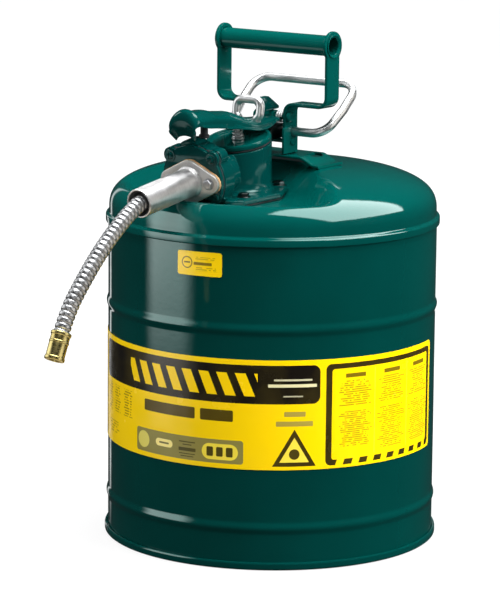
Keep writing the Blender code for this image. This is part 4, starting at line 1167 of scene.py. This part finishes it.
for side, sx in (("left", -1), ("right", 1)):
    path = fillet([(sx * STRAP_X, 343.0), (sx * STRAP_X, 386.5), (sx * EYE_X, 386.5),
                   (sx * EYE_X, 436.0)], [0, 7.5, 8.5, 0], 14)
    eye_m = along_x(sx * EYE_X, HANDLE_Y, GRIP_Z)
    eye = lathe(fillet([(13.0, 1.55), (13.0, -1.55), (EYE_R, -1.55), (EYE_R, 1.55)], 0.5, 3),
                72, eye_m)
    strap = carve(strip(path, 19.0, STRAP_T, HANDLE_Y), [
        ("DIFFERENCE", rod(EYE_R, 6, -6, 48, eye_m)),
        ("DIFFERENCE", rod(4.4, 6, -6, 32, along_x(sx * STRAP_X, HANDLE_Y, PIVOT_Z))),
        ("DIFFERENCE", rod(3.15, 6, -6, 32, along_x(sx * STRAP_X, HINGE_Y, HINGE_Z)))])
    make("handle_bar_" + side, [strap, eye], HANDLE_ENAMEL, "can", "handle_strap_" + side,
         36)
    cheek_x = STRAP_X + STRAP_T / 2 + 0.3 + CHEEK_T / 2
    cheek = plate(fillet([(-10.5, 343.0), (11.0, 343.0), (11.0, 366.5), (-10.5, 366.5)],
                         [0.1, 0.1, 2.5, 2.5], 5),
                  [circle(HANDLE_Y, PIVOT_Z, 4.4, 32), circle(SPACER_Y, SPACER_Z, 2.3, 20)],
                  CHEEK_T, 0.45, place(sx * cheek_x, 0, 0) @ SIDE_M)
    make("stem_plate_" + side, cheek, HANDLE_ENAMEL, "can", "stem_cheek_" + side)

half_grip = 60.7
grip_end = [(9.0 - 1.4, half_grip - 1.6), (9.4, half_grip), (10.6, half_grip - 0.2),
            (10.3, half_grip - 1.0), (9.0, half_grip - 1.2)]
grip = fillet(grip_end + [(r, -z) for r, z in grip_end[::-1]],
              [0.8, 0.5, 0.4, 0.4, 0.8, 0.8, 0.4, 0.4, 0.5, 0.8], 4)
make("grip_bar", lathe(grip, 72, along_x(0, HANDLE_Y, GRIP_Z)), HANDLE_ENAMEL, "can",
     "grip_tube", 40)
spacer = fillet([(0, 40.4), (2.6, 40.4), (3.6, 39.2), (3.6, 38.9), (1.95, 38.9), (1.95, 1.5),
                 (3.6, 1.5), (3.6, 1.2), (2.6, 0.0), (0, 0.0)],
                [0, 0.5, 0.2, 0.1, 0.1, 0.1, 0.1, 0.2, 0.5, 0], 3)
make("spacer_pin", lathe(spacer, 32, along_x(-40.4 / 2, SPACER_Y, SPACER_Z)), HANDLE_ENAMEL,
     "can", "stem_spacer_pin")

# saddle plate under the handle, with a slot on each side
saddle = strip(fillet([(-55, 334.6), (-48, 335.2), (-36, 341.2), (36, 341.2), (48, 335.2),
                       (55, 334.6)], [0, 7, 7, 7, 7, 0], 8), 38.0, 2.4, 8.5)
slot_outline = fillet([(-5, -8.5), (5, -8.5), (5, 8.5), (-5, 8.5)], 2.0, 5)
slots = [("DIFFERENCE", plate(slot_outline, [], 20.0, 0.05, place(sx * 35, 12.5, 340)))
         for sx in (-1, 1)]
make("saddle_plate", carve(saddle, slots), HANDLE_ENAMEL, "can", "saddle_bracket")

# ---- squeeze trigger and pour valve spring
TILT = math.radians(40.0)
bail = [(x, HANDLE_Y + reach * math.cos(TILT), PIVOT_Z + reach * math.sin(TILT))
        for x, reach in ((9.4, 0), (50.5, 0), (54.8, 30), (54.8, 62.0), (0, 62.0))]
right = fillet(bail, [0, 16, 20, 17, 0], 14)
left = [(-x, y, z) for x, y, z in right[::-1]][1:]
make("trigger_wire", wire(right + left, 4.0, 28), ZINC, "trigger", "trigger_bail", 60)
rocker = fillet([(13.0, 356.2), (13.0, 368.0), (-1.0, 368.6), (-17.0, 365.6), (-20.0, 359.0),
                 (-15.5, 355.2), (-3.0, 356.0)], [5.5, 5.5, 4.0, 4.0, 3.6, 3.0, 4.0])
make("trigger_rocker", plate(rocker, [], 18.2, 0.6, SIDE_M), BLACK_STEEL, "trigger",
     "trigger_cam")
ob = make("plunger_coil", coil(0, POUR_Y, 326.4, 348.8, 4.3, 5.5, 0.75), ZINC, "can",
          "plunger_spring", 60)
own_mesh(ob)

# ---- CAD nodes kept as they are, with a finish
for name, mat in {
        "manifold_gasket": RUBBER, "spout_cover_gasket": RUBBER, "hose_flange_gasket": FIBRE,
        "fill_flame_arrester": FILL_SCREEN, "pour_flame_arrester": POUR_SCREEN,
        "cap_seal": RUBBER, "valve_stem": STEEL, "valve_disc": RUBBER,
        "valve_seat_ring": BRASS, "valve_chamber": STEEL, "gland_nut": BRASS,
        "transfer_tube": STEEL}.items():
    ob = NODES[name]
    ob.data.materials.clear()
    ob.data.materials.append(mat)
    ob.modifiers.new("weld", "WELD").merge_threshold = 0.00001
    shade(ob.data, 32)


# ---- stage
def pale_floor():
    mat = Shader("pale_floor")
    from_can = mat.noise(mat.coords(), scale=3.0)
    # The floor glows, dimmer near the can (0.86 within 0.2 m of its axis) and full from 0.75 m
    # out: painted shade round the can's foot.
    mat.set(Base_Color=mat.mix(from_can, (0.085, 0.085, 0.085), (0.095, 0.095, 0.095)),
            Roughness=0.95, Emission_Color=(1, 1, 1, 1),
            Emission_Strength=mat.remap(
                mat.vec("LENGTH", mat.vec("SUBTRACT", mat.coords(), (0.0, AXIS_Y, 0.0))),
                low=0.2, high=0.75, to=(0.86, 1.0)))
    mat.bsdf.inputs["Specular IOR Level"].default_value = 0.0
    return mat.material


bm = bmesh.new()
bmesh.ops.create_grid(bm, x_segments=8, y_segments=8, size=6.0)
me = bpy.data.meshes.new("floor")
bm.to_mesh(me)
bm.free()
floor = bpy.data.objects.new("floor", me)
bpy.context.scene.collection.objects.link(floor)
floor.location.z = -0.0004
me.materials.append(pale_floor())
for flag in ("visible_glossy", "visible_diffuse", "visible_shadow", "visible_transmission"):
    setattr(floor, flag, False)


def studio_world():
    """White to the camera, a faint cool glow to the pieces, fainter still in reflections."""
    world = bpy.data.worlds.new("studio")
    bpy.context.scene.world = world
    world.use_nodes = True
    nodes, link = world.node_tree.nodes, world.node_tree.links.new
    nodes.clear()

    def background(color, strength):
        node = nodes.new("ShaderNodeBackground")
        node.inputs[0].default_value = color
        node.inputs[1].default_value = strength
        return node

    path = nodes.new("ShaderNodeLightPath")
    ambient = background((0.80, 0.88, 0.92, 1), strength=0.10)
    backdrop = background((1, 1, 1, 1), strength=1.0)
    mixed = nodes.new("ShaderNodeMixShader")
    output = nodes.new("ShaderNodeOutputWorld")
    dim = nodes.new("ShaderNodeMapRange")
    dim.inputs["To Min"].default_value = 0.16
    dim.inputs["To Max"].default_value = 0.03
    link(path.outputs["Is Glossy Ray"], dim.inputs[0])
    link(dim.outputs[0], ambient.inputs[1])
    link(path.outputs["Is Camera Ray"], mixed.inputs[0])
    link(ambient.outputs[0], mixed.inputs[1])
    link(backdrop.outputs[0], mixed.inputs[2])
    link(mixed.outputs[0], output.inputs[0])


studio_world()


# ---- lights, metres about the can's axis
def fade_edges(light, fade):
    """Dim the box over these shares of it, at low u, high u, low v and high v."""
    light.use_nodes = True
    tree = light.node_tree
    split = tree.nodes.new("ShaderNodeSeparateXYZ")
    geometry = tree.nodes.new("ShaderNodeNewGeometry")
    tree.links.new(geometry.outputs["Parametric"], split.inputs[0])
    last = None
    for i, width in enumerate(fade):
        ramp = tree.nodes.new("ShaderNodeMapRange")
        ramp.interpolation_type = "SMOOTHSTEP"
        tree.links.new(split.outputs[i // 2], ramp.inputs[0])
        ramp.inputs[1].default_value = i % 2
        ramp.inputs[2].default_value = 1.0 - width if i % 2 else width
        product = tree.nodes.new("ShaderNodeMath")
        product.operation = "MULTIPLY"
        product.inputs[1].default_value = 1.0
        tree.links.new(ramp.outputs[0], product.inputs[0])
        if last is not None:
            tree.links.new(last, product.inputs[1])
        last = product.outputs[0]
    tree.links.new(last, tree.nodes["Emission"].inputs["Strength"])


def soft_box(name, spot, aim, width, height, radiance, kind, fade, receivers, color):
    light = bpy.data.lights.new(name, "AREA")
    light.shape = "RECTANGLE"
    light.size, light.size_y = width, height
    light.energy = radiance * PI * width * height
    light.color = color
    if fade:
        fade_edges(light, fade)
    ob = bpy.data.objects.new(name, light)
    bpy.context.scene.collection.objects.link(ob)
    ob.location = Vector(spot) + SHIFT
    ob.rotation_euler = (Vector(aim) - Vector(spot)).to_track_quat("-Z", "Y").to_euler()
    ob.visible_camera = False
    ob.visible_glossy = kind == "shine"
    ob.visible_diffuse = kind == "fill"
    if receivers:
        ob.light_linking.receiver_collection = receivers


def polar(azimuth, distance, z):
    """Azimuth in degrees from -Y towards +X."""
    angle = math.radians(azimuth)
    return (distance * math.sin(angle), -distance * math.cos(angle), z)


def group(name, obs):
    coll = bpy.data.collections.new(name)
    for ob in obs:
        coll.objects.link(ob)
    return coll


BRIGHT = {m.name for m in (ZINC, ZINC_PLATE, TUBE_STEEL, HOSE_STEEL, STEEL, BRASS)}
PIECES = [ob for ob in bpy.context.scene.objects if ob.type == "MESH" and ob is not floor]
BODY = group("lit_body", [ob for ob in PIECES if ob.name in (
    "can_wall", "bottom_rim", "can_top", "label_wrap", "info_sticker")])
WALL = group("lit_wall", [ob for ob in BODY.objects if ob.name != "can_top"])
TOP = group("lit_top", [ob for ob in BODY.objects if ob.name == "can_top"])
METALS = group("lit_metals", [ob for ob in PIECES if ob.data.materials
                              and ob.data.materials[0] and ob.data.materials[0].name in BRIGHT])
TRIM = group("lit_trim", [ob for ob in PIECES if ob.name not in METALS.objects
                          and ob.name not in BODY.objects])

# name, place, aim, width, height, radiance, kind (fill: no reflection, shine: reflection
# only), edge fade, pieces lit (None: all)
LIGHTS = [
    ("left_box", polar(-39, 1.7, 0.45), (0, 0, 0.40), 1.45, 1.5, 5.2, "shine",
     (0.26, 0.30, 0.26, 0.1), BODY),
    ("left_strip", polar(-118, 1.8, 0.3), (0, 0, 0.2), 0.25, 1.6, 1.4, "shine",
     (0.4, 0.4, 0.1, 0.1), BODY),
    ("dome_card", (0.937, 0.304, 1.56), (0, 0, 0.30), 2.3, 2.0, 11.0, "shine",
     4 * (0.06,), TOP),
    ("overhead_soft", (0.22, -0.02, 1.8), (0.1, 0.0, 0.1), 1.7, 1.7, 10.6, "fill", None, None),
    ("high_front", polar(60, 1.9, 1.5), (0, 0, 0.3), 1.5, 1.2, 0.3, "fill", None, None),
    ("left_fill", polar(-34, 1.9, 0.6), (0, 0, 0.25), 1.2, 1.2, 4.2, "fill", None, None),
    ("right_fill", polar(100, 1.8, 0.95), (0, 0, 0.3), 1.2, 1.2, 14.0, "fill", None, None),
    ("back_fill", polar(190, 2.0, 0.9), (0, 0, 0.2), 1.6, 1.2, 5.0, "fill", None, None),
    ("rear_strip", polar(-156, 1.9, 0.3), (0, 0, 0.2), 0.45, 1.3, 1.0, "shine",
     (0.5, 0.5, 0.1, 0.1), WALL),
    ("trim_box", polar(-39, 1.7, -0.62), (0, 0, 0.40), 1.3, 0.9, 1.0, "shine",
     (0.26, 0.30, 0.26, 0.1), TRIM),
    ("dome_fill", polar(12, 1.5, 1.75), (0, 0, 0.3), 1.2, 1.2, 9.0, "fill", None, TOP),
    ("trim_left", polar(-70, 1.5, 1.2), (0, 0, 0.4), 0.6, 0.8, 5.0, "shine", 4 * (0.2,), TRIM),
    ("trim_top", (0.5, 0.45, 1.9), (0, 0, 0.4), 0.9, 0.7, 9.0, "shine", 4 * (0.2,), TRIM),
    ("trim_right", polar(105, 1.5, 1.1), (0, 0, 0.4), 0.5, 0.9, 3.5, "shine", 4 * (0.2,), TRIM),
    ("metal_top", (0.05, -0.05, 1.8), (0, -0.1, 0.3), 1.8, 1.8, 7.5, "shine",
     4 * (0.15,), METALS),
    ("metal_left", polar(-62, 1.5, 0.75), (0, -0.15, 0.3), 1.7, 1.7, 1.5, "shine",
     4 * (0.2,), METALS),
    ("metal_front", polar(20, 1.8, 0.35), (0, -0.15, 0.3), 1.2, 1.2, 1.1, "shine",
     4 * (0.2,), METALS),
    ("metal_right", polar(98, 1.5, 0.7), (0, -0.15, 0.3), 1.6, 1.6, 1.3, "shine",
     4 * (0.2,), METALS),
    ("metal_back", polar(190, 1.7, 0.8), (0, 0, 0.3), 2.2, 1.8, 1.5, "shine", None, METALS),
    ("metal_low", (0.0, -0.3, -0.9), (0, -0.15, 0.3), 3.4, 3.4, 0.75, "shine", None, METALS)]
WARM = {"metal_right": (1.0, 0.95, 0.88), "metal_low": (1.0, 0.88, 0.72)}
for row in LIGHTS:
    soft_box(*row, color=WARM.get(row[0], (1, 1, 1)))

# ---- camera: aimed along +Y by yaw, pitch and roll, then swung 35 degrees about Z
yaw, pitch, roll = (math.radians(a) for a in (-0.4011, 10.7714, 0.5485))
level = Vector((math.cos(yaw), -math.sin(yaw), 0))
forward = Vector((math.sin(yaw) * math.cos(pitch), math.cos(yaw) * math.cos(pitch),
                  -math.sin(pitch)))
upward = Vector((math.sin(yaw) * math.sin(pitch), math.cos(yaw) * math.sin(pitch),
                 math.cos(pitch)))
swing = Matrix.Rotation(math.radians(35.0), 3, "Z")
cam_right = swing @ (level * math.cos(roll) + upward * math.sin(roll))
cam_up = swing @ (upward * math.cos(roll) - level * math.sin(roll))
cam_back = -(swing @ forward)
cam_data = bpy.data.cameras.new("camera")
cam_data.sensor_width = 36.0
cam_data.lens = 191.995585
cam_data.clip_start, cam_data.clip_end = 0.05, 50
cam = bpy.data.objects.new("camera", cam_data)
bpy.context.scene.collection.objects.link(cam)
cam_spot = (1.6060, -2.2936 + AXIS_Y, 0.7423)
cam.matrix_world = Matrix((*zip(cam_right, cam_up, cam_back, cam_spot), (0, 0, 0, 1)))
bpy.context.scene.camera = cam
bpy.context.scene.view_settings.view_transform = "Standard"
bpy.context.scene.view_settings.look = "None"
